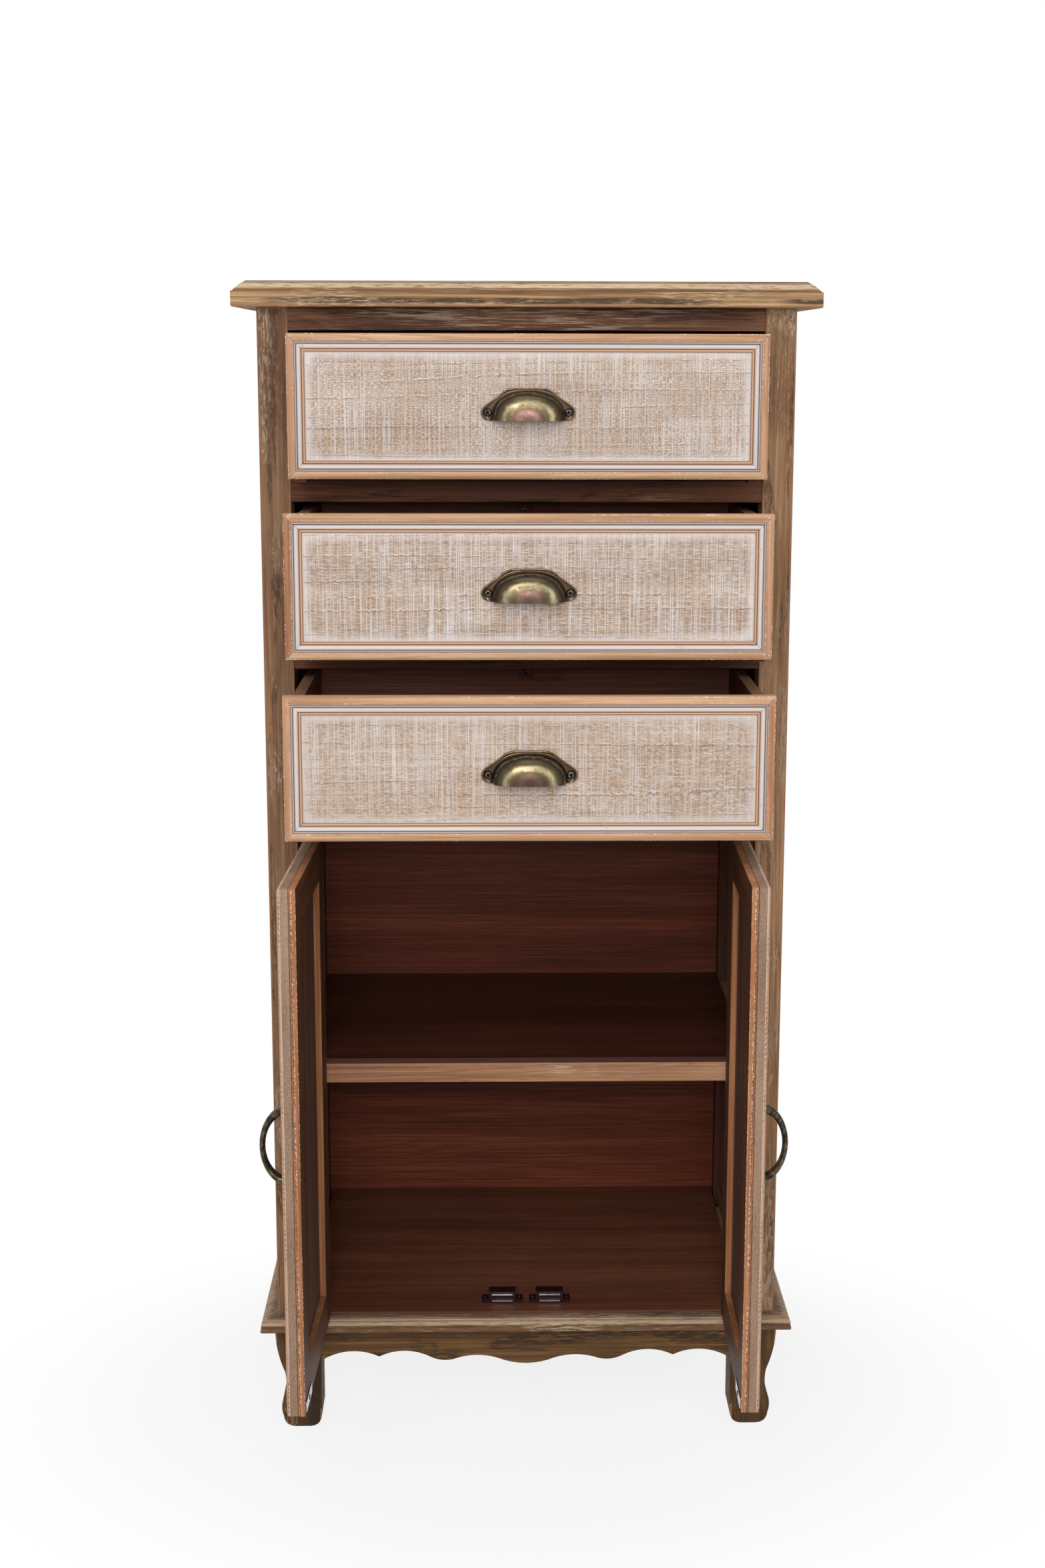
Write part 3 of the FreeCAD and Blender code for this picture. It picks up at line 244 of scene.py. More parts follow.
def wood_colour(paint, axis, tones, streak, shift=0.0):
    """Layered grain: broad figure, hairlines, growth lines and pores. Gives colour, height, hairs."""
    dark, base, pale = tones
    figure = paint.noise(stretch(axis, 1.4, 20), 3, 0.5, 0.5, shift)
    hair = paint.noise(stretch(axis, 5.0, 380), 5, 0.7, 0.1, shift + 3)
    value = paint.plus(paint.times(figure, 0.45), paint.times(hair, 0.55))
    spread = 0.035 + 0.085 / streak
    colour = paint.ramp(value, ((0.5 - spread, dark), (0.5, base), (0.5 + spread, pale)))
    field = paint.noise(stretch(axis, 0.9, 24), 2, 0.45, 0.35, shift + 13)
    ring = paint.lines(field, 16, 0.2)
    colour = paint.mix(colour, dark, paint.times(ring, paint.band(hair, 0.36, 0.56), 0.45 * streak))
    pores = paint.noise(stretch(axis, 34.0, 1000), 2, 0.6, 0.0, shift + 7)
    colour = paint.mix(colour, dark, paint.times(paint.band(pores, 0.56, 0.7), 0.4))
    height = paint.plus(paint.times(pores, -0.5), paint.times(hair, 1.1), paint.times(ring, -0.25))
    return colour, height, hair


def from_corners(paint, node):
    """Distance to the nearest long edge of a box-shaped board, on any of its faces."""
    low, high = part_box(node)
    gaps = []
    for index, name in enumerate("XYZ"):
        half = (high[index] - low[index]) / 2
        gaps.append(paint.less(half, paint.apart(paint.axis(name), low[index] + half)))
    first = paint.math("MINIMUM", gaps[0], gaps[1])
    second = paint.most(gaps[0], gaps[1])
    return paint.most(first, paint.math("MINIMUM", second, gaps[2]))


REAR_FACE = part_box("rear_right_post")[1].y


def worn_wood(name, axis, tones, stain, chalk, amounts, levels=(0.55, 0.56),
              shift=(0, 0, 0), dash=70.0, belts=(), rubbed=None, streak=1.0, inside=0.0):
    """Reclaimed-looking wood: grain, dark stains, dry-brushed scuffs and rubbed edges.

    A belt is (height, half its width, tone, amount, raggedness): a band at one height, on some pieces a
    stain and on others painted shade or a painted highlight; rubbed is (node, width, tone).
    Nearer to the middle than inside, the wood is red-brown as the rest of the inside is,
    apart from the faces at the very back of the case.
    """
    paint = Paint(name, shift)
    colour, height, hair = wood_colour(paint, axis, tones, streak)
    broken = paint.noise(stretch(axis, dash, 420), 3, 0.65, 0.0, 17)
    patch = paint.noise(stretch(axis, 4.5, 26), 4, 0.62, 0.6, 11)
    stained = paint.times(paint.band(patch, levels[0], levels[0] + 0.08),
                          paint.band(broken, 0.38, 0.56), amounts[0])
    colour = paint.mix(colour, stain, stained)
    for place, half, tone, amount, ragged in belts:
        waver = paint.times(paint.less(paint.noise(stretch(axis, 9, 60), 4, 0.7, 0, 19), 0.5), ragged)
        gap = paint.apart(paint.plus(paint.axis("Z"), waver), place)
        belt = paint.times(paint.band(gap, half, half * 0.55), paint.band(broken, 0.30, 0.52), amount)
        if ragged > 0.003:
            belt = paint.times(belt, paint.band(
                paint.noise(stretch(axis, 5.5, 5), 2, 0.5, 0, 31), 0.44, 0.54))
        colour = paint.mix(colour, tone, belt)
    rub = paint.noise(stretch(axis, 5.0, 24), 3, 0.6, 0.5, 23)
    dry = paint.noise(stretch(axis, dash, 620), 3, 0.62, 0.0, 29)
    chalked = paint.times(paint.band(rub, levels[1], levels[1] + 0.1),
                          paint.band(dry, 0.48, 0.60), amounts[1])
    colour = paint.mix(colour, chalk, chalked)
    if rubbed:
        node, width, tone = rubbed
        edge = paint.plus(from_corners(paint, node), paint.times(
            paint.less(paint.noise((60, 60, 60), 4, 0.65, 0, 37), 0.5), width * 1.6))
        bare = wood_colour(paint, axis, tone, 0.7, 5)[0]
        colour = paint.mix(colour, bare, paint.times(paint.band(edge, width, width * 0.75), 0.8))
    if inside:
        near = paint.band(paint.apart(paint.axis("X"), 0.0), inside + 0.0003, inside)
        ahead = paint.band(paint.axis("Y"), REAR_FACE - 0.0004, REAR_FACE - 0.0010)
        colour = paint.mix(colour, wood_colour(paint, axis, INNER, 0.7, 8)[0],
                           paint.times(near, ahead))
    sheen = paint.ramp(hair, ((0.38, grey(0.5)), (0.62, grey(0.7))))
    height = paint.plus(height, paint.times(stained, -0.5), paint.times(chalked, 0.4))
    return paint.done(colour, sheen, height, 0.0006)


def plain_wood(name, axis, tones, shift=(0, 0, 0), streak=0.6, rough=0.6):
    """Quiet wood: grain only."""
    paint = Paint(name, shift)
    colour, height = wood_colour(paint, axis, tones, streak)[:2]
    return paint.done(colour, rough, height, 0.0003)


# Limed fronts and their mouldings: every stretch of the profile has its own colour

LIME = tint(228, 223, 223)
TAN = (tint(142, 114, 90), tint(174, 147, 121), tint(194, 169, 145))
ORANGE = (tint(160, 112, 76), tint(199, 157, 121), tint(217, 182, 150))
FLECK = tint(236, 231, 227)
SEAM = tint(112, 80, 62)
SEAM_SPACING = 0.0125


def from_edges(paint, centre, half):
    """Distances to the side edges and to the top and bottom edges of a framed board."""
    beside = paint.less(half[0], paint.apart(paint.axis("X"), centre[0]))
    over = paint.less(half[1], paint.apart(paint.axis("Z"), centre[1]))
    return beside, over


def limed_colour(paint, centre, half, shift, lean=0.0, cover=1.0, dash=300):
    """Rough-sawn board under a thin limewash: hatching both ways, wavy seams, a whiter margin."""
    colour = wood_colour(paint, "X", TAN, 0.7, shift)[0]
    upright = paint.noise((1100, 60, 10), 2, 0.55, 0.0, shift + 31)
    long = paint.noise((260, 20, 1.4), 3, 0.8, 0.0, shift + 37)
    speck = paint.noise((dash, 60, 1000), 3, 0.65, 0.0, shift + 41)
    cloud = paint.noise((7, 9, 10), 4, 0.6, 0.4, shift + 43)
    lie = paint.band(cloud, 0.60 - lean, 0.38 - lean)
    threads = paint.times(paint.band(upright, 0.50, 0.60), paint.plus(0.55, paint.times(lie, 0.25)))
    dashes = paint.times(paint.band(speck, 0.50, 0.58), paint.plus(0.70, paint.times(lie, -0.15)))
    strong = paint.times(paint.band(long, 0.60, 0.625), paint.band(upright, 0.42, 0.52), 0.7)
    wash = paint.most(threads, dashes, strong)
    haze = paint.band(paint.noise((16, 16, 22), 3, 0.6, 0.3, shift + 45), 0.40, 0.66)
    wash = paint.plus(paint.times(wash, paint.plus(0.80, paint.times(haze, 0.2))),
                      paint.times(haze, 0.09))
    wiggle = paint.times(paint.less(paint.noise((420, 20, 90), 2, 0.6, 0, shift + 3), 0.5), 0.0036)
    sway = paint.times(paint.less(paint.noise((1.1, 5, 26), 2, 0.5, 0, shift + 5), 0.5), 0.034)
    level = paint.math("FRACT", paint.times(
        paint.plus(paint.axis("Z", paint.at), wiggle, sway), 1 / SEAM_SPACING))
    part = paint.noise((90, 20, 160), 3, 0.7, 0.0, shift + 47)
    seam = paint.times(paint.band(paint.apart(level, 0.5), 0.048, 0.015),
                       paint.band(part, 0.42, 0.54))
    beside_seam = paint.times(paint.band(paint.apart(level, 0.575), 0.045, 0.015),
                              paint.band(part, 0.42, 0.54), paint.band(speck, 0.40, 0.48), 0.8)
    wash = paint.most(wash, beside_seam)
    beside, over = from_edges(paint, centre, half)
    edge = paint.math("SMOOTH_MIN", beside, over, 0.02)
    ragged = paint.plus(edge, paint.times(
        paint.less(paint.noise((60, 60, 60), 3, 0.6, 0, shift + 53), 0.5), 0.010))
    margin = paint.band(ragged, 0.0285, 0.0195)
    rim = paint.times(paint.band(paint.apart(ragged, 0.0285), 0.0010, 0.0003),
                      paint.band(part, 0.46, 0.58), 0.5)
    wash = paint.most(wash, paint.times(margin, paint.plus(0.60, paint.times(threads, 0.4))))
    colour = paint.mix(colour, LIME, paint.times(wash, cover))
    pits = paint.times(paint.band(speck, 0.40, 0.34), paint.band(part, 0.44, 0.56), 0.6)
    colour = paint.mix(colour, SEAM, paint.times(paint.most(seam, rim, pits), 0.52))
    tooth = paint.plus(paint.times(upright, 0.8), paint.times(speck, 0.8), paint.times(seam, -0.12))
    return colour, tooth


MOULDING_WIDTH = 0.019


def moulding_colour(paint, centre, half, shift):
    """Colours across a mitred moulding, from its outer edge inwards."""
    beside, over = from_edges(paint, centre, half)
    distance = paint.math("MINIMUM", beside, over)
    upright = paint.math("LESS_THAN", beside, over)
    lying, height = wood_colour(paint, "X", ORANGE, 0.8, shift)[:2]
    upright_tones = (tint(150, 100, 68), tint(186, 140, 106), tint(204, 164, 132))
    standing = wood_colour(paint, "Z", upright_tones, 0.8, shift + 5)[0]
    wood = paint.mix(lying, standing, upright)
    waver = paint.times(paint.less(paint.noise((70, 70, 70), 4, 0.7, 0, shift + 61), 0.5), 0.0018)
    place = paint.times(paint.plus(distance, waver), 1 / MOULDING_WIDTH)
    firm = paint.times(distance, 1 / MOULDING_WIDTH)
    white = paint.ramp(firm, (
        (0.0, tint(220, 208, 200)), (0.395, tint(210, 194, 185)), (0.412, tint(112, 80, 64)),
        (0.440, tint(168, 140, 124)), (0.49, tint(206, 190, 180)), (0.515, tint(104, 76, 64)),
        (0.555, tint(160, 148, 144)), (0.60, tint(212, 204, 201)), (0.68, tint(214, 206, 203)),
        (0.745, tint(196, 180, 171)), (0.780, tint(160, 122, 99)), (0.805, tint(112, 75, 53)),
        (0.83, tint(186, 142, 112)), (0.88, tint(212, 178, 152)), (0.920, tint(170, 124, 94)),
        (0.94, tint(102, 67, 47)), (0.965, tint(194, 176, 163)), (1.0, tint(208, 195, 185)),
    ))
    # Painted shade: the white of the standing runs is a little darker than the white of the lying runs
    white = paint.mix(white, tint(96, 74, 62), paint.times(upright, 0.07))
    painted = paint.band(place, 0.355, 0.38)
    colour = paint.mix(wood, white, painted)
    rub = paint.noise((60, 60, 60), 4, 0.7, 0.3, shift + 67)
    worn = paint.times(paint.band(rub, 0.6, 0.68), painted, 0.45)
    colour = paint.mix(colour, ORANGE[1], worn)
    fleck = paint.noise((380, 380, 380), 3, 0.65, 0.1, shift + 71)
    place_of = paint.noise((14, 14, 14), 3, 0.6, 0.0, shift + 73)
    outer = paint.times(paint.band(place, 0.045, 0.02),
                        paint.band(paint.plus(place_of, paint.times(upright, 0.08)), 0.50, 0.56))
    inner = paint.times(paint.band(paint.apart(place, 0.36), 0.04, 0.02),
                        paint.band(place_of, 0.46, 0.56), 0.6)
    corner = paint.band(paint.plus(paint.apart(beside, over), distance), 0.012, 0.003)
    flecked = paint.times(paint.band(fleck, 0.54, 0.58),
                          paint.most(outer, inner, paint.times(corner, 0.35)))
    colour = paint.mix(colour, FLECK, paint.times(flecked, 0.9))
    joint = paint.band(paint.apart(beside, over), 0.0005, 0.0002)
    colour = paint.mix(colour, tint(104, 72, 54),
                       paint.times(joint, paint.band(place_of, 0.4, 0.6), 0.6))
    return colour, height


def drawer_materials(level, name):
    """Front and moulding of one drawer."""
    low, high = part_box(name + "_drawer_front")
    centre = (0.0, (low.z + high.z) / 2)
    half = ((high.x - low.x) / 2, (high.z - low.z) / 2)
    shift = (0.37 * level, 0.21 * level, 0.45 * level)
    paint = Paint(name + "_panel_paint", shift)
    colour, height = limed_colour(paint, centre, half, 2.0 * level, (0.06, -0.10, 0.0)[level],
                                  (0.98, 0.92, 0.84)[level], (300, 130, 240)[level])
    colour = paint.mix(colour, SEAM, (0.0, 0.0, 0.075)[level])
    rough = wood_colour(paint, "X", ORANGE, 0.5, 4)[0]
    facing = paint.band(paint.axis("Y"), low.y + 0.0008, low.y + 0.0004)
    show(name + "_drawer_front", paint.done(paint.mix(rough, colour, facing), 0.72, height, 0.0004))
    paint = Paint(name + "_moulding_paint", shift)
    colour, height = moulding_colour(paint, centre, half, 1.3 * level)
    show(name + "_drawer_moulding", paint.done(colour, 0.5, height, 0.0002))


# Doors are painted in their own frame: x from the hinge pin, y through the door

DOOR_ANGLES = {"left": math.radians(-92.0), "right": math.radians(89.0)}
DOOR_SIDES = {"left": 1, "right": -1}
DOOR_MIDDLE, DOOR_HALF = 0.12085, 0.1195
PANEL_FACE, PANEL_BACK, FRAME_BACK = 0.0105, 0.0195, 0.0260


def door_paint(name, label, shift):
    """A Paint whose local frame lies along a door that stands open."""
    pin = joints[name + "_door_hinge"]["pos_m"]
    return Paint(label, shift, (pin[0], pin[1], 0.0), DOOR_ANGLES[name])


def door_materials(name):
    """Limed outer face, bare edges and brown inner face of one door."""
    side = DOOR_SIDES[name]
    low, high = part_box(name + "_door_panel")
    centre = (side * DOOR_MIDDLE, (low.z + high.z) / 2)
    half = (DOOR_HALF, (high.z - low.z) / 2)
    shift = (0.8 * side, 0.3, 0.9)
    paint = door_paint(name, name + "_door_panel_paint", shift)
    face, height = limed_colour(paint, centre, half, 9.0)
    depth = paint.axis("Y")
    inner = wood_colour(paint, "Z", (tint(58, 38, 29), tint(85, 57, 44), tint(107, 76, 60)), 0.8)[0]
    fibre = paint.noise((700, 700, 500), 3, 0.7)
    broad = paint.noise((40, 40, 9), 3, 0.6, 0, 4)
    core = paint.ramp(paint.plus(paint.times(fibre, 0.6), paint.times(broad, 0.4)), (
        (0.38, tint(130, 103, 83)), (0.5, tint(150, 122, 100)), (0.62, tint(165, 138, 116))))
    pit = paint.noise((260, 260, 150), 3, 0.7, 0.3, 5)
    core = paint.mix(core, tint(92, 68, 54), paint.times(paint.band(pit, 0.65, 0.70), 0.6))
    ragged = paint.noise((40, 40, 190), 5, 0.75, 0.2, 8)
    seam = paint.band(paint.plus(depth, paint.times(ragged, 0.0020)),
                      PANEL_BACK - 0.0002, PANEL_BACK + 0.0005)
    core = paint.mix(core, tint(66, 42, 31), paint.times(seam, 0.85))
    colour = paint.mix(core, face, paint.band(depth, PANEL_FACE + 0.0004, PANEL_FACE + 0.0002))
    colour = paint.mix(colour, inner, paint.band(depth, PANEL_BACK - 0.0002, PANEL_BACK - 0.00005))
    show(name + "_door_panel", paint.done(colour, 0.66, height, 0.00015))

    paint = door_paint(name, name + "_door_moulding_paint", shift)
    colour, height = moulding_colour(paint, centre, half, 3.0)
    saw = paint.tree.nodes.new("ShaderNodeTexWave")
    saw.bands_direction = "DIAGONAL"
    saw.inputs["Scale"].default_value = 120.0
    saw.inputs["Distortion"].default_value = 3.5
    paint.feed(saw.inputs["Vector"], paint.vector("MULTIPLY", paint.local, (1.0, 1.4, 1.0)))
    cut = paint.times(paint.band(saw.outputs["Fac"], 0.35, 0.7),
                      paint.band(paint.noise((40, 40, 22), 3, 0.6, 0, 7), 0.60, 0.42))
    edge = paint.mix(tint(188, 158, 136), tint(152, 104, 72), cut)
    outer = paint.band(paint.apart(paint.times(paint.axis("X"), side), DOOR_MIDDLE),
                       DOOR_HALF - 0.00025, DOOR_HALF - 0.0001)
    colour = paint.mix(colour, edge, outer)
    show(name + "_door_moulding", paint.done(colour, 0.55, height, 0.0002))

    paint = door_paint(name, name + "_door_frame_paint", shift)
    beside = from_edges(paint, centre, half)[0]
    tones = (tint(60, 35, 21), tint(86, 52, 32), tint(109, 72, 47))
    standing, height = wood_colour(paint, "Z", tones, 0.9)[:2]
    lying = wood_colour(paint, "X", tones, 0.9, 5)[0]
    face = paint.mix(lying, standing, paint.math("LESS_THAN", beside, 0.04))
    bare = wood_colour(paint, "Z", (tint(130, 80, 50), tint(168, 113, 75), tint(192, 141, 102)),
                       0.9, 2)[0]
    depth = paint.axis("Y")
    colour = paint.mix(bare, face, paint.band(depth, FRAME_BACK - 0.00015, FRAME_BACK - 0.00005))
    chip = paint.noise((640, 640, 340), 3, 0.7, 0.1, 6)
    run = paint.noise((30, 30, 14), 3, 0.6, 0.1, 9)
    ragged = paint.plus(depth, paint.times(paint.noise((60, 60, 90), 4, 0.7, 0.1, 12), 0.0030))
    crack = paint.band(paint.apart(ragged, FRAME_BACK - 0.0026), 0.0011, 0.0004)
    arris = paint.band(depth, FRAME_BACK - 0.0009, FRAME_BACK - 0.0002)
    flecks = paint.times(paint.most(crack, arris), paint.band(chip, 0.50, 0.55),
                         paint.band(run, 0.38, 0.52),
                         paint.band(depth, FRAME_BACK + 0.00005, FRAME_BACK - 0.00002),
                         paint.band(beside, 0.002, 0.001))
    split = paint.times(paint.band(paint.apart(ragged, FRAME_BACK - 0.0036), 0.0006, 0.0002),
                        paint.band(chip, 0.56, 0.48), paint.band(beside, 0.002, 0.001))
    colour = paint.mix(colour, tint(76, 46, 32), paint.times(split, 0.8))
    colour = paint.mix(colour, tint(214, 196, 178), paint.times(flecks, 0.85))
    show(name + "_door_frame", paint.done(colour, 0.55, height, 0.0003))


# Metals

def metal(name, dark, base, bright, rough, scale=120, ribs=None):
    """Antiqued metal: darkened hollows and rubbed high places."""
    paint = Paint(name)
    cloud = paint.noise((scale, scale, scale), 4, 0.65, 0.3)
    fine = paint.noise((900, 900, 900), 2, 0.6, 0, 2)
    colour = paint.ramp(cloud, ((0.36, dark), (0.5, base), (0.66, bright)))
    if ribs:
        comb = paint.math("PINGPONG", paint.times(paint.axis("Z"), ribs), 1.0)
        fine = paint.plus(paint.times(fine, 0.4), paint.times(comb, 0.6))
        colour = paint.mix(colour, dark, paint.times(paint.band(comb, 0.35, 0.1), 0.5))
    gloss = paint.ramp(cloud, ((0.36, grey(rough + 0.16)), (0.66, grey(rough - 0.06))))
    return paint.done(colour, gloss, fine, 0.00006, 1.0, 0.5)


CUP_HALF, CUP_TALL, CUP_ROUND = 0.0366, 0.0286, 2.35
CUP_DEEP, CUP_WALL, CUP_DIMPLE = 0.0220, 0.0015, 0.00045
PULL_SCREW_X, PULL_SCREW_Z, PULL_FLANGE = 0.0405, 0.008, 0.002


def pull_material(name):
    """Antique brass cup: dark flange and rubbed rim; on the cup a dark coppery front, a painted
    highlight on the shoulder and a thin one at the edge, painted shade towards the edge and in the
    groove.
    """
    low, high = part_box(name + "_cup_pull")
    paint = Paint(name + "_pull_paint", (0, 0, low.z * 0.3))
    cloud = paint.noise((130, 130, 130), 5, 0.7, 0.5, 3)
    broad = paint.noise((45, 45, 45), 2, 0.5, 0.2, 5)
    stir = paint.plus(paint.times(paint.less(cloud, 0.5), 0.45),
                      paint.times(paint.less(broad, 0.5), 0.3))
    across = paint.times(paint.math("ABSOLUTE", paint.axis("X")), 1 / CUP_HALF)
    across = paint.math("POWER", across, CUP_ROUND)
    lift = paint.less(paint.axis("Z"), low.z)
    upward = paint.math("POWER", paint.times(paint.math("ABSOLUTE", lift), 1 / CUP_TALL), CUP_ROUND)
    ring = paint.math("POWER", paint.plus(across, upward), 1 / CUP_ROUND)
    # Painted light across the cup: the pale stop at 0.65 is a painted highlight on the shoulder and the
    # pale stop at 0.955 a thin one at the edge; the darker stops towards the edge and at 0.98 are
    # painted shade
    colour = paint.ramp(paint.plus(ring, paint.times(stir, 0.45)), (
        (0.0, tint(68, 54, 48)), (0.30, tint(94, 73, 65)), (0.43, tint(80, 64, 52)),
        (0.53, tint(92, 82, 60)), (0.65, tint(164, 152, 118)), (0.75, tint(90, 80, 58)),
        (0.86, tint(68, 61, 48)), (0.925, tint(58, 52, 43)), (0.955, tint(140, 134, 120)),
        (0.98, tint(50, 43, 35)), (1.0, tint(82, 68, 54))))
    height = paint.times(paint.less(high.y, paint.axis("Y")), 1000.0)
    rim = paint.times(paint.band(height, 1.9, 2.3), paint.band(ring, 1.0, 1.03))
    colour = paint.mix(colour, tint(150, 118, 84), paint.times(rim, paint.band(cloud, 0.3, 0.6)))
    # Painted shade: a dark ring round each screw, where its countersink lies in shade
    ear = paint.apart(paint.math("ABSOLUTE", paint.axis("X")), PULL_SCREW_X)
    over = paint.less(lift, PULL_SCREW_Z)
    seat = paint.math("SQRT", paint.plus(paint.times(ear, ear), paint.times(over, over)))
    colour = paint.mix(colour, tint(20, 15, 12), paint.times(paint.band(seat, 0.0047, 0.0039), 0.9))
    spot = paint.noise((420, 420, 420), 3, 0.7, 0.0, 9)
    colour = paint.mix(colour, tint(40, 30, 23), paint.times(paint.band(spot, 0.60, 0.68), 0.6))
    gloss = paint.ramp(cloud, ((0.36, grey(0.40)), (0.64, grey(0.26))))
    return paint.done(colour, gloss, spot, 0.00005, 1.0, 0.5)


# Case woods

BROWN = (tint(88, 60, 42), tint(132, 98, 71), tint(166, 130, 99))
PALER = (tint(106, 74, 51), tint(160, 122, 88), tint(196, 158, 121))
STAIN = tint(50, 36, 28)
INNER = (tint(60, 35, 26), tint(84, 51, 38), tint(106, 70, 52))
CHALK = tint(182, 164, 142)
EDGE = (tint(128, 86, 56), tint(160, 114, 80), tint(184, 140, 104))
inner_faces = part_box("right_side_panel")[0].x + 0.0002
for index, post in enumerate(CORNERS):
    on_right = index % 2
    show(post + "_post", worn_wood(
        post + "_post_paint", "Z", PALER if on_right else BROWN, STAIN, CHALK, (0.65, 0.65),
        (0.53, 0.48 - 0.02 * on_right), (0.4 * index, 0.2, 0.3 * index), 120,
        ((1.165, 0.085, tint(86, 58, 40), 0.5, 0.003),),
        (post + "_post", 0.0022, EDGE), inside=inner_faces if post.startswith("rear") else 0.0))
show("side_rails", worn_wood("side_rail_paint", "Y", BROWN, STAIN, CHALK, (0.6, 0.6)))
for index, side in enumerate(DOORS):
    show(side + "_side_panel", worn_wood(
        side + "_side_panel_paint", "Z", BROWN, STAIN, CHALK, (0.5, 0.45), (0.56, 0.58),
        (0.7 * index, 0.5, 0.1), inside=inner_faces))
RAIL = (tint(76, 46, 30), tint(116, 77, 52), tint(144, 103, 74))
# Painted shadow: the dark belt along the top of the rail, under the overhang of the top board
show("top_rail", worn_wood(
    "top_rail_paint", "X", RAIL, tint(50, 28, 22), tint(168, 144, 124), (0.75, 0.75), (0.50, 0.47),
    (0.2, 0.1, 0.7), 26, ((1.2205, 0.0035, tint(52, 30, 24), 0.6, 0.004),)))
show("divider_rails", worn_wood(
    "rail_paint", "X", (tint(58, 32, 19), tint(92, 53, 32), tint(120, 76, 49)), tint(38, 20, 13),
    tint(150, 122, 100), (0.75, 0.6), (0.52, 0.56), (0.9, 0.1, 0.2), 30))
# The light belt at 1.2465 is a painted highlight along the front edge of the top face
show("top_board", worn_wood(
    "top_paint", "X", (tint(112, 78, 48), tint(174, 138, 98), tint(212, 182, 142)),
    tint(72, 50, 36), tint(222, 200, 166), (0.7, 0.45), (0.58, 0.57), (0.1, 0.3, 0.4), 60,
    ((1.2255, 0.0024, tint(150, 102, 68), 0.6, 0.002), (1.2307, 0.0036, tint(66, 46, 36), 0.9, 0.006),
     (1.2465, 0.0038, tint(234, 214, 182), 0.6, 0.002), (1.2409, 0.0007, tint(84, 62, 46), 0.7, 0.0012),
     (1.2488, 0.0007, tint(76, 58, 44), 0.7, 0.002)), streak=1.3))
BASE_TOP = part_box("base_moulding")[1].z
OLIVE = (tint(92, 70, 52), tint(148, 118, 92), tint(188, 158, 130))
# The light belt 3 mm under the top is a painted highlight along the bead
show("base_moulding", worn_wood(
    "base_paint", "X", OLIVE, tint(64, 48, 34), tint(206, 184, 150), (0.75, 0.7), (0.55, 0.51),
    (0.5, 0.2, 0.3), 50, ((BASE_TOP - 0.0108, 0.0042, tint(104, 72, 46), 0.9, 0.001),
                          (BASE_TOP - 0.0030, 0.0026, tint(208, 180, 150), 0.65, 0.001),
                          (BASE_TOP - 0.0068, 0.0007, tint(48, 34, 24), 0.85, 0.0008),
                          (BASE_TOP, 0.0006, tint(92, 78, 62), 0.7, 0.0002)), streak=1.3))
LEG = (tint(54, 35, 18), tint(84, 58, 32), tint(112, 82, 49))
# Painted shadow: the dark belt along the top of the apron, under the base moulding
show("front_apron", worn_wood(
    "apron_paint", "X", (tint(78, 52, 27), tint(114, 82, 48), tint(142, 108, 68)), tint(46, 32, 20),
    tint(164, 134, 92), (0.8, 0.4), (0.50, 0.58), (0.3, 0.8, 0.6), 60,
    ((0.1185, 0.0022, tint(34, 26, 18), 0.7, 0.001),), streak=1.2))
show("side_and_rear_aprons", worn_wood("side_apron_paint", "Y", LEG, tint(52, 44, 32),
                                       tint(158, 136, 104), (0.6, 0.4)))
for index, leg in enumerate(CORNERS):
    show(leg + "_leg", worn_wood(
        leg + "_leg_paint", "Z", LEG, tint(44, 32, 21), tint(154, 130, 96), (0.8, 0.6),
        (0.52, 0.55), (0.3 * index, 0.6, 0.2), 60, (), (leg + "_leg", 0.002, OLIVE), 1.3))

# Inside

RED = (tint(62, 28, 20), tint(88, 42, 30), tint(112, 58, 42))
show("back_panel", plain_wood("back_paint", "X", (tint(74, 33, 20), tint(117, 56, 36),
                                                  tint(154, 85, 57)), (0.2, 0, 0.4), 0.75, 0.5))
show("floor_board", plain_wood("floor_paint", "X", (tint(84, 48, 34), tint(112, 68, 49),
                                                    tint(134, 86, 63)), (0, 0.3, 0), 0.8, 0.5))
show("shelf_board", plain_wood("shelf_paint", "X", (tint(58, 30, 21), tint(79, 42, 30),
                                                    tint(98, 56, 41)), (0.5, 0.3, 0), 0.8, 0.45))
show("shelf_front_strip", worn_wood(
    "strip_paint", "X", (tint(128, 84, 57), tint(170, 123, 91), tint(198, 154, 120)),
    tint(120, 78, 54), tint(222, 190, 160), (0.6, 0.5), (0.56, 0.56), (0, 0, 0.2), 40))
BOX_WALL = 0.0115
PINE = (tint(140, 102, 72), tint(170, 132, 97), tint(192, 157, 122))
for node in ("cleats", "drawer_runners"):
    show(node, plain_wood(node + "_paint", "Y", PINE))
for level, name in enumerate(DRAWERS):
    drawer_materials(level, name)
    paint = Paint(name + "_walls_paint", (0.3 * level, 0, 0.2))
    tones = (tint(74, 40, 28), tint(102, 59, 42), tint(130, 82, 60))
    across, height = wood_colour(paint, "X", tones, 0.9)[:2]
    along = wood_colour(paint, "Y", tones, 0.9, 3)[0]
    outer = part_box(name + "_drawer_walls")[1]
    inner_side = outer.x - BOX_WALL
    colour = paint.mix(across, along, paint.band(paint.apart(paint.axis("X"), 0.0),
                                                 inner_side - 0.0007, inner_side + 0.0003))
    sawn = paint.band(paint.axis("Z"), outer.z - 0.0006, outer.z - 0.0002)
    show(name + "_drawer_walls", paint.done(paint.mix(colour, tint(132, 98, 74), sawn), 0.6, height,
                                            0.0003))
    show(name + "_drawer_bottom", plain_wood(name + "_bottom_paint", "X", RED, (0.6 * level, 0, 0)))
    show(name + "_turning_block", plain_wood(name + "_block_paint", "X", RED, streak=0.9))
for name in DOORS:
    door_materials(name)

# Metal and plastic

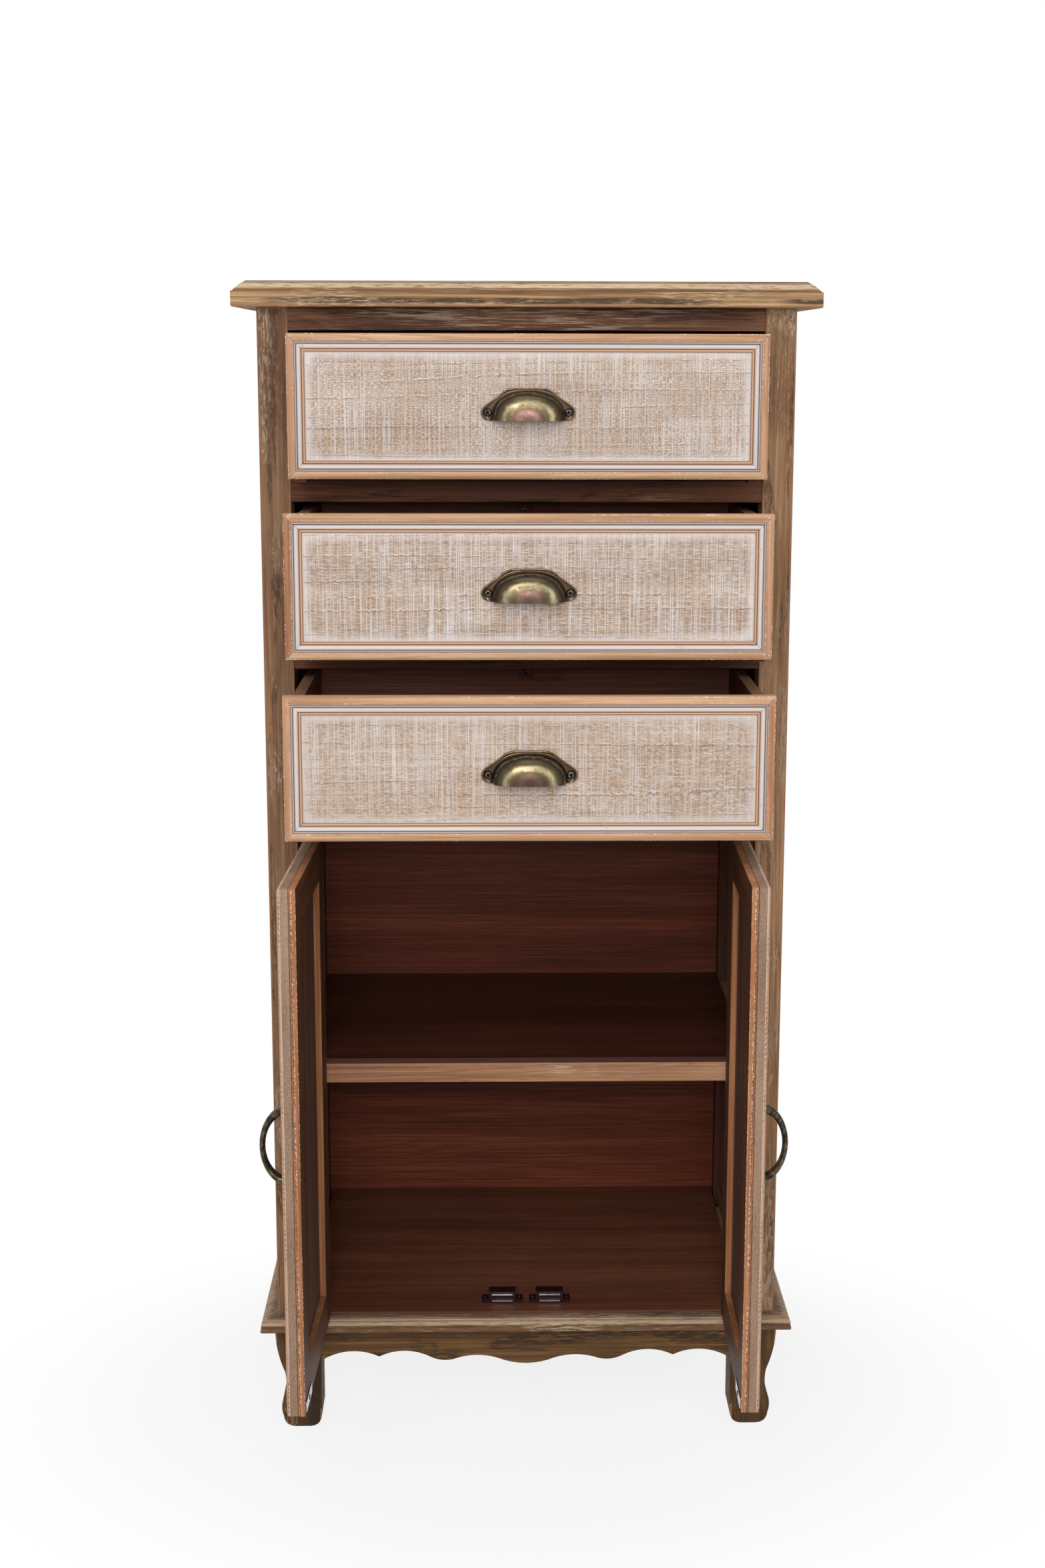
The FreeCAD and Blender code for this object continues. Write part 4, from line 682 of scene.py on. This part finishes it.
handle_metal = metal("handle_paint", tint(44, 40, 34), tint(74, 66, 52), tint(128, 114, 88), 0.40,
                     160, 900)
screw_metal = metal("screw_paint", tint(70, 60, 50), tint(110, 98, 82), tint(160, 146, 124), 0.36,
                    400)
dark_screw = metal("dark_screw_paint", tint(44, 40, 37), tint(76, 70, 65), tint(112, 104, 97), 0.36,
                   400)
# Painted shade: the cross recesses of the screws are near-black
recess_shade = metal("recess_shade_paint", tint(14, 12, 11), tint(22, 19, 17), tint(34, 30, 27), 0.5, 600)
cross_looks = (dark_screw, recess_shade)
steel = metal("steel_paint", tint(160, 160, 160), tint(200, 200, 198), tint(226, 226, 224), 0.26)
hinge_metal = metal("hinge_paint", tint(84, 70, 48), tint(128, 108, 76), tint(164, 142, 104), 0.4)
paint = Paint("catch_paint")
speckle = paint.noise((500, 500, 500), 2, 0.5)
catch_plastic = paint.done(paint.ramp(speckle, ((0.3, tint(34, 12, 16)), (0.7, tint(46, 18, 22)))),
                           0.4, speckle, 0.0001)
for name in DRAWERS:
    show(name + "_drawer_screws", screw_metal)
for name in DOORS:
    show(name + "_bow_handle", handle_metal)
    show(name + "_hinge_leaves", hinge_metal)
    show(name + "_strike_plate", steel)
show("fixed_hinges", hinge_metal)
show("magnetic_catches", catch_plastic)
show("catch_plates", steel)


# Finer pulls and screws, and nails that the solids leave out

def fan(mesh, centre, rings):
    """Faces from a middle point out over rings of points that turn to the left about it."""
    count = len(rings[0])
    faces = []
    for step in range(count):
        faces.append(mesh.faces.new((centre, rings[0][step], rings[0][(step + 1) % count])))
    for inner, outer in zip(rings, rings[1:]):
        for step in range(count):
            after = (step + 1) % count
            faces.append(mesh.faces.new((inner[step], outer[step], outer[after], inner[after])))
    return faces


def cross_head(mesh, place, normal, radius, rise, twist, shank=0.0):
    """A domed screw head with a cross recess, its underside at the place given."""
    turn = Vector(normal).to_track_quat("Z", "Y").to_matrix() @ Matrix.Rotation(twist, 3, "Z")
    shares = (0.10, 0.17, 0.24, 0.31, 0.38, 0.45, 0.52, 0.60, 0.70, 0.80, 0.89, 0.96, 1.0)
    count = 40
    place = Vector(place)

    def recess(x, y):
        along, side = max(abs(x), abs(y)) / radius, min(abs(x), abs(y)) / radius
        arm = 0.17 * (1.3 - along)
        return min(1.0, max(0.0, (arm - side) / 0.06)) * min(1.0, max(0.0, (0.62 - along) / 0.08))

    def level(x, y):
        far = math.hypot(x, y) / radius
        dome = rise * (0.55 + 0.45 * math.sqrt(max(0.0, 1.0 - far ** 2.6)))
        return dome - rise * 0.75 * recess(x, y)

    def sunk(face):
        middle = turn.inverted() @ (face.calc_center_median() - place)
        return recess(middle.x, middle.y) > 0.35 and middle.z > 0

    def ring(share, height=None):
        points = []
        for step in range(count):
            angle = 2 * math.pi * step / count
            x, y = radius * share * math.cos(angle), radius * share * math.sin(angle)
            z = level(x, y) if height is None else height
            points.append(mesh.verts.new(place + turn @ Vector((x, y, z))))
        return points

    centre = mesh.verts.new(place + turn @ Vector((0, 0, level(0, 0))))
    rings = [ring(share) for share in shares] + [ring(1.0, rise * 0.3), ring(0.98, 0.0)]
    if shank:
        rings += [ring(0.5, 0.0), ring(0.5, -shank), ring(0.1, -shank - radius * 0.6)]
    faces = fan(mesh, centre, rings)
    mesh.faces.new(reversed(rings[-1]))
    # Faces in the cross recess take the second material, which is painted shade
    for face in faces:
        face.material_index = 1 if sunk(face) else 0


def piece_from(name, mesh, body, materials, hidden=None):
    """Turn a finished bmesh into a piece that rides on a body."""
    data = bpy.data.meshes.new(name)
    mesh.to_mesh(data)
    mesh.free()
    for polygon in data.polygons:
        polygon.use_smooth = True
    for material in materials:
        data.materials.append(material)
    piece = bpy.data.objects.new(name, data)
    bpy.context.scene.collection.objects.link(piece)
    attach(piece, body)
    if hidden:
        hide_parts(hidden)


def along_door(name, x, y):
    """A direction of the closed door's own frame, in the row frame at rest."""
    return Matrix.Rotation(DOOR_ANGLES[name], 3, "Z") @ Vector((x * DOOR_SIDES[name], y, 0))


def on_door(name, x, y, z):
    """A point of the closed door's own frame, in the row frame at rest."""
    pin = Vector(joints[name + "_door_hinge"]["pos_m"])
    place = along_door(name, x, y)
    return Vector((pin.x + place.x, pin.y + place.y, z))


BLOCK_THIN, BLOCK_PLAY = 0.0060, 0.0003


def drawer_details(name):
    """The three screws of a drawer."""
    low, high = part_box(name + "_cup_pull")
    flange = high.y - PULL_FLANGE
    mesh = bmesh.new()
    for x, twist in ((-PULL_SCREW_X, 0.5), (PULL_SCREW_X, 0.15)):
        cross_head(mesh, (x, flange, low.z + PULL_SCREW_Z), (0, -1, 0), 0.0034, 0.0016, twist, 0.008)
    block_low, block_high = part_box(name + "_turning_block")
    head = (0.0, block_high.y - BLOCK_THIN - BLOCK_PLAY, (block_low.z + block_high.z) / 2)
    cross_head(mesh, head, (0, -1, 0), 0.0035, 0.0015, 0.3, 0.009)
    piece_from(name + "_cross_screws", mesh, name + "_drawer", cross_looks,
               name + "_drawer_screws")


FLANGE = ((0.0380, 0.0), (0.0412, 0.0003), (0.0444, 0.0015), (0.0466, 0.0040), (0.0475, 0.0072),
          (0.0471, 0.0104), (0.0455, 0.0132), (0.0430, 0.0153), (0.0392, 0.0180), (0.0345, 0.0210),
          (0.0300, 0.0243), (0.0275, 0.0266), (0.0245, 0.0290), (0.0205, 0.0309), (0.0152, 0.0320),
          (0.0, 0.0320))


def reach(points, angle):
    """How far an outline in the upper right quarter lies from its origin at an angle."""
    angle = min(max(angle, 0.0), math.pi / 2)
    for (x0, z0), (x1, z1) in zip(points, points[1:]):
        first, second = math.atan2(z0, x0), math.atan2(z1, x1)
        if first <= angle <= second:
            dx, dz = x1 - x0, z1 - z0
            return (x0 * dz - z0 * dx) / (math.cos(angle) * dz - math.sin(angle) * dx)
    return points[-1][1]


def pull_section(flange, cup):
    """The pull's skin along one ray: distance from the cup's middle, and height off the panel."""
    wall, deep, plate = CUP_WALL, CUP_DEEP, 0.0017
    gap = flange - cup
    scale = min(1.0, gap / 0.0042)
    outer, inner = [], []
    for step in range(1, 25):
        share = math.sin(math.pi / 2 * step / 24)
        dome = (1.0 - share ** 3.2) ** 0.5
        dimple = CUP_DIMPLE * (1 - min(1.0, max(0.0, (share - 0.46) / 0.10)))
        outer.append((cup * share, plate * 0.6 + (deep - plate * 0.6) * dome - dimple))
        inner.append(((cup - wall) * share, (deep - wall) * dome))
    outer[-1] = (cup, plate * 0.6)
    inner[-1] = (cup - wall, 0.0)
    for far, height in ((0.00045, plate * 0.55), (0.0008, plate * 0.95), (0.0012, plate * 1.12),
                        (0.0017, plate * 1.05), (0.0020, plate * 0.92)):
        outer.append((cup + far * scale, height))
    for near, height in ((0.0020, plate * 0.92), (0.0016, plate * 1.12), (0.0011, plate * 1.32),
                         (0.0006, plate * 1.30), (0.0002, plate * 1.05), (0.0, plate * 0.6),
                         (0.0, 0.0)):
        outer.append((flange - near * scale, height))
    return outer, list(reversed(inner))


def cup_pull(name):
    """A flanged half-cup with a flattened, slightly dimpled front and a raised rim."""
    low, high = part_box(name + "_cup_pull")
    mesh = bmesh.new()
    poles = [mesh.verts.new((0, high.y - CUP_DEEP + CUP_DIMPLE, low.z)),
             mesh.verts.new((0, high.y - CUP_DEEP + CUP_WALL, low.z))]
    rays = []
    count = 72
    for step in range(count + 1):
        angle = math.pi * step / count
        folded = min(angle, math.pi - angle)
        folded = (math.pi / 2) * (folded / (math.pi / 2)) ** 1.6
        angle = folded if step <= count / 2 else math.pi - folded
        flange = reach(FLANGE, folded)
        cosine, sine = math.cos(folded), math.sin(folded)
        cup = ((cosine / CUP_HALF) ** CUP_ROUND + (sine / CUP_TALL) ** CUP_ROUND) ** (-1 / CUP_ROUND)
        outer, inner = pull_section(flange, cup)
        cosine, sine = math.cos(angle), math.sin(angle)
        rays.append([mesh.verts.new((far * cosine, high.y - height, low.z + far * sine))
                     for far, height in outer + inner])
    for first, second in zip(rays, rays[1:]):
        mesh.faces.new((poles[0], second[0], first[0]))
        for index in range(len(first) - 1):
            mesh.faces.new((first[index], second[index], second[index + 1], first[index + 1]))
        mesh.faces.new((poles[1], first[-1], second[-1]))
    for ray, turned in ((rays[0], False), (rays[-1], True)):
        ring = [poles[0].co] + [vertex.co for vertex in ray] + [poles[1].co]
        lip = [mesh.verts.new(place) for place in ring]
        half = len(lip) // 2
        for index in range(half - 1):
            corners = (lip[index], lip[index + 1], lip[-2 - index], lip[-1 - index])
            mesh.faces.new(corners if turned else tuple(reversed(corners)))
    bmesh.ops.recalc_face_normals(mesh, faces=mesh.faces)
    piece_from(name + "_brass_pull", mesh, name + "_drawer", (pull_material(name),),
               name + "_cup_pull")


for name in DRAWERS:
    drawer_details(name)
    cup_pull(name)


HANDLE_X, HANDLE_SCREW = 0.20635, 0.037
STRIKE_X, STRIKE_THICK = 0.21185, 0.001
HINGE_LENGTH, LEAF_SEAT = 0.05, 0.00016
LEAF_SCREWS = ((0.008, 0.0195), (0.025, 0.0125), (0.042, 0.0195))


def door_details(name):
    """Screws through the stile into the bow handle, in the hinge leaves and the strike plate."""
    low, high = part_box(name + "_bow_handle")
    middle = (low.z + high.z) / 2
    mesh = bmesh.new()
    inward = along_door(name, 0, 1)
    for z, twist in ((middle - HANDLE_SCREW, 0.2), (middle + HANDLE_SCREW, 0.6)):
        cross_head(mesh, on_door(name, HANDLE_X, FRAME_BACK, z), inward, 0.0030, 0.0008, twist)
    low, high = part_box(name + "_strike_plate")
    strike = on_door(name, STRIKE_X, FRAME_BACK + STRIKE_THICK, (low.z + high.z) / 2)
    cross_head(mesh, strike, inward, 0.0028, 0.0007, 0.7)
    piece_from(name + "_door_screws", mesh, name + "_door", cross_looks)
    low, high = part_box(name + "_hinge_leaves")
    side = DOOR_SIDES[name]
    mesh = bmesh.new()
    fixed = bmesh.new()
    pin = Vector(joints[name + "_door_hinge"]["pos_m"])
    for bottom in (low.z, high.z - HINGE_LENGTH):
        for lift, inset in LEAF_SCREWS:
            cross_head(mesh, on_door(name, LEAF_SEAT, inset, bottom + lift), along_door(name, -1, 0),
                       0.0026, 0.00006, lift * 30)
            cross_head(fixed, (pin.x - side * LEAF_SEAT, pin.y + inset, bottom + lift), (side, 0, 0),
                       0.0026, 0.00006, lift * 50)
    piece_from(name + "_leaf_screws", mesh, name + "_door", cross_looks)
    piece_from(name + "_post_leaf_screws", fixed, "case", cross_looks)


for name in DOORS:
    door_details(name)


def nail_head(mesh, place, radius, flat):
    """A round head squashed along Y."""
    around, rows = 14, 8
    top, bottom = [mesh.verts.new(place + Vector((0, 0, z))) for z in (radius, -radius)]
    rings = []
    for row in range(1, rows):
        tilt = math.pi * row / rows
        far = radius * math.sin(tilt)
        ring = []
        for step in range(around):
            angle = math.pi / 2 + 2 * math.pi * step / around
            ring.append(mesh.verts.new(place + Vector((
                far * math.cos(angle), far * flat * math.sin(angle), radius * math.cos(tilt)))))
        rings.append(ring)
    fan(mesh, top, rings)
    fan(mesh, bottom, [rings[-1][::-1]])


CATCH_X, CATCH_EAR_X, CATCH_EAR_TOP = 0.0265, 0.0189, 0.0043
NAIL_RADIUS, NAIL_FLAT = 0.0017, 0.35


def case_details():
    """Screws in the catches' ears and small nails round the back panel."""
    low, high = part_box("magnetic_catches")
    mesh = bmesh.new()
    for x in (-CATCH_X, CATCH_X):
        for offset in (-CATCH_EAR_X, CATCH_EAR_X):
            cross_head(mesh, (x + offset, (low.y + high.y) / 2, low.z + CATCH_EAR_TOP), (0, 0, 1),
                       0.0024, 0.0011, 0.3 + offset * 40)
    piece_from("catch_screws", mesh, "case", cross_looks)
    low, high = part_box("back_panel")
    mesh = bmesh.new()
    middle, half = (low.x + high.x) / 2, (high.x - low.x) / 2 - 0.003
    spots = []
    rows = 11
    for index in range(rows):
        z = low.z + 0.02 + (high.z - low.z - 0.04) * index / (rows - 1)
        spots += [(middle - half, z), (middle + half, z)]
    for index in range(1, 5):
        x = middle - half + 2 * half * index / 5
        spots += [(x, low.z + 0.006), (x, high.z - 0.006)]
    for x, z in spots:
        nail_head(mesh, Vector((x, high.y, z)), NAIL_RADIUS, NAIL_FLAT)
    piece_from("back_nails", mesh, "case", (dark_screw,))


case_details()


# Floor, light and camera

def seen_directly(tree):
    """1 for what the camera sees straight, in a mirror-like surface or through glass."""
    path = tree.nodes.new("ShaderNodeLightPath")
    first = tree.nodes.new("ShaderNodeMath")
    second = tree.nodes.new("ShaderNodeMath")
    first.operation = second.operation = "MAXIMUM"
    tree.links.new(path.outputs["Is Camera Ray"], first.inputs[0])
    tree.links.new(path.outputs["Is Transmission Ray"], first.inputs[1])
    tree.links.new(first.outputs[0], second.inputs[0])
    tree.links.new(path.outputs["Is Glossy Ray"], second.inputs[1])
    return second.outputs[0]


def set_floor():
    """A white floor that keeps the cabinet's shadow and fades into the white background."""
    mesh = bpy.data.meshes.new("floor")
    mesh.from_pydata([(-9, -9, 0), (9, -9, 0), (9, 9, 0), (-9, 9, 0)], [], [(0, 1, 2, 3)])
    floor = bpy.data.objects.new("floor", mesh)
    bpy.context.scene.collection.objects.link(floor)
    floor.location.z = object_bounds()[0][2] - 0.0002
    paint = Paint("floor_white")
    mottle = paint.noise((3, 3, 3), 2)
    colour = paint.ramp(mottle, ((0.3, grey(0.90)), (0.7, grey(0.93))))
    mesh.materials.append(paint.done(colour, 0.9, gloss=0.1))
    across = paint.times(paint.axis("X"), 0.8)
    deep = paint.axis("Y")
    far = paint.math("SQRT", paint.plus(paint.times(across, across), paint.times(deep, deep)))
    share = paint.plus(0.84, paint.times(paint.band(far, 0.26, 0.56), 0.16))
    share = paint.times(share, seen_directly(paint.tree))
    white = paint.tree.nodes.new("ShaderNodeEmission")
    mixer = paint.tree.nodes.new("ShaderNodeMixShader")
    paint.tree.links.new(share, mixer.inputs[0])
    paint.tree.links.new(paint.shader.outputs[0], mixer.inputs[1])
    paint.tree.links.new(white.outputs[0], mixer.inputs[2])
    output = [node for node in paint.tree.nodes if node.type == "OUTPUT_MATERIAL"][0]
    paint.tree.links.new(mixer.outputs[0], output.inputs[0])


def set_world():
    """White behind everything, and a plain fill light."""
    world = bpy.data.worlds.new("studio")
    bpy.context.scene.world = world
    world.use_nodes = True
    tree = world.node_tree
    tree.nodes.clear()
    plain = tree.nodes.new("ShaderNodeBackground")
    plain.inputs["Color"].default_value = (1, 1, 1, 1)
    plain.inputs["Strength"].default_value = 1.0
    fill = tree.nodes.new("ShaderNodeBackground")
    fill.inputs["Color"].default_value = (1, 1, 1, 1)
    fill.inputs["Strength"].default_value = 0.36
    mixer = tree.nodes.new("ShaderNodeMixShader")
    output = tree.nodes.new("ShaderNodeOutputWorld")
    tree.links.new(seen_directly(tree), mixer.inputs[0])
    tree.links.new(fill.outputs[0], mixer.inputs[1])
    tree.links.new(plain.outputs[0], mixer.inputs[2])
    tree.links.new(mixer.outputs[0], output.inputs[0])


def set_lamps():
    """Soft lamps in front, to the side and above."""
    for name, place, size, power in (
        ("key_lamp", (-0.7, -2.9, 2.9), 1.8, 40),
        ("front_lamp", (-0.1, -2.7, 1.5), 0.7, 22),
        ("fill_lamp", (1.9, -2.2, 1.7), 1.6, 9),
        ("top_lamp", (0.0, 0.0, 3.4), 1.6, 12),
    ):
        lamp = bpy.data.lights.new(name, "AREA")
        lamp.size = size
        lamp.energy = power
        item = bpy.data.objects.new(name, lamp)
        item.location = place
        aim = Vector((0, -0.05, 0.7)) - Vector(place)
        item.rotation_euler = aim.to_track_quat("-Z", "Y").to_euler()
        bpy.context.scene.collection.objects.link(item)


def set_camera():
    """The photograph's viewpoint: 2.3 m in front, a little to the left and looking down."""
    front_plane = -0.06734
    yaw, pitch, roll = -0.02199, -0.1951, -0.002395
    turn = Matrix.Rotation(yaw, 3, "Z") @ Matrix.Rotation(pitch, 3, "X") @ Matrix.Rotation(roll, 3, "Y")
    right, forward, up = turn.col[0], turn.col[1], turn.col[2]
    basis = Matrix((right, up, -forward)).transposed().to_4x4()
    camera = bpy.data.cameras.new("photo_view")
    camera.sensor_fit = "HORIZONTAL"
    wide, high = 1568.0, 2352.0
    focal_pixels, middle_x, middle_y = 3316.0, 811.1, 1190.0
    camera.sensor_width = 36.0
    camera.lens = camera.sensor_width * focal_pixels / wide
    camera.shift_x = (wide / 2 - middle_x) / wide
    camera.shift_y = (middle_y - high / 2) / wide
    item = bpy.data.objects.new("photo_view", camera)
    bpy.context.scene.collection.objects.link(item)
    item.matrix_world = Matrix.Translation((-0.036, -2.297 + front_plane, 1.176)) @ basis
    bpy.context.scene.camera = item


set_floor()
set_world()
set_lamps()
set_camera()
bpy.context.scene.view_settings.view_transform = "Standard"
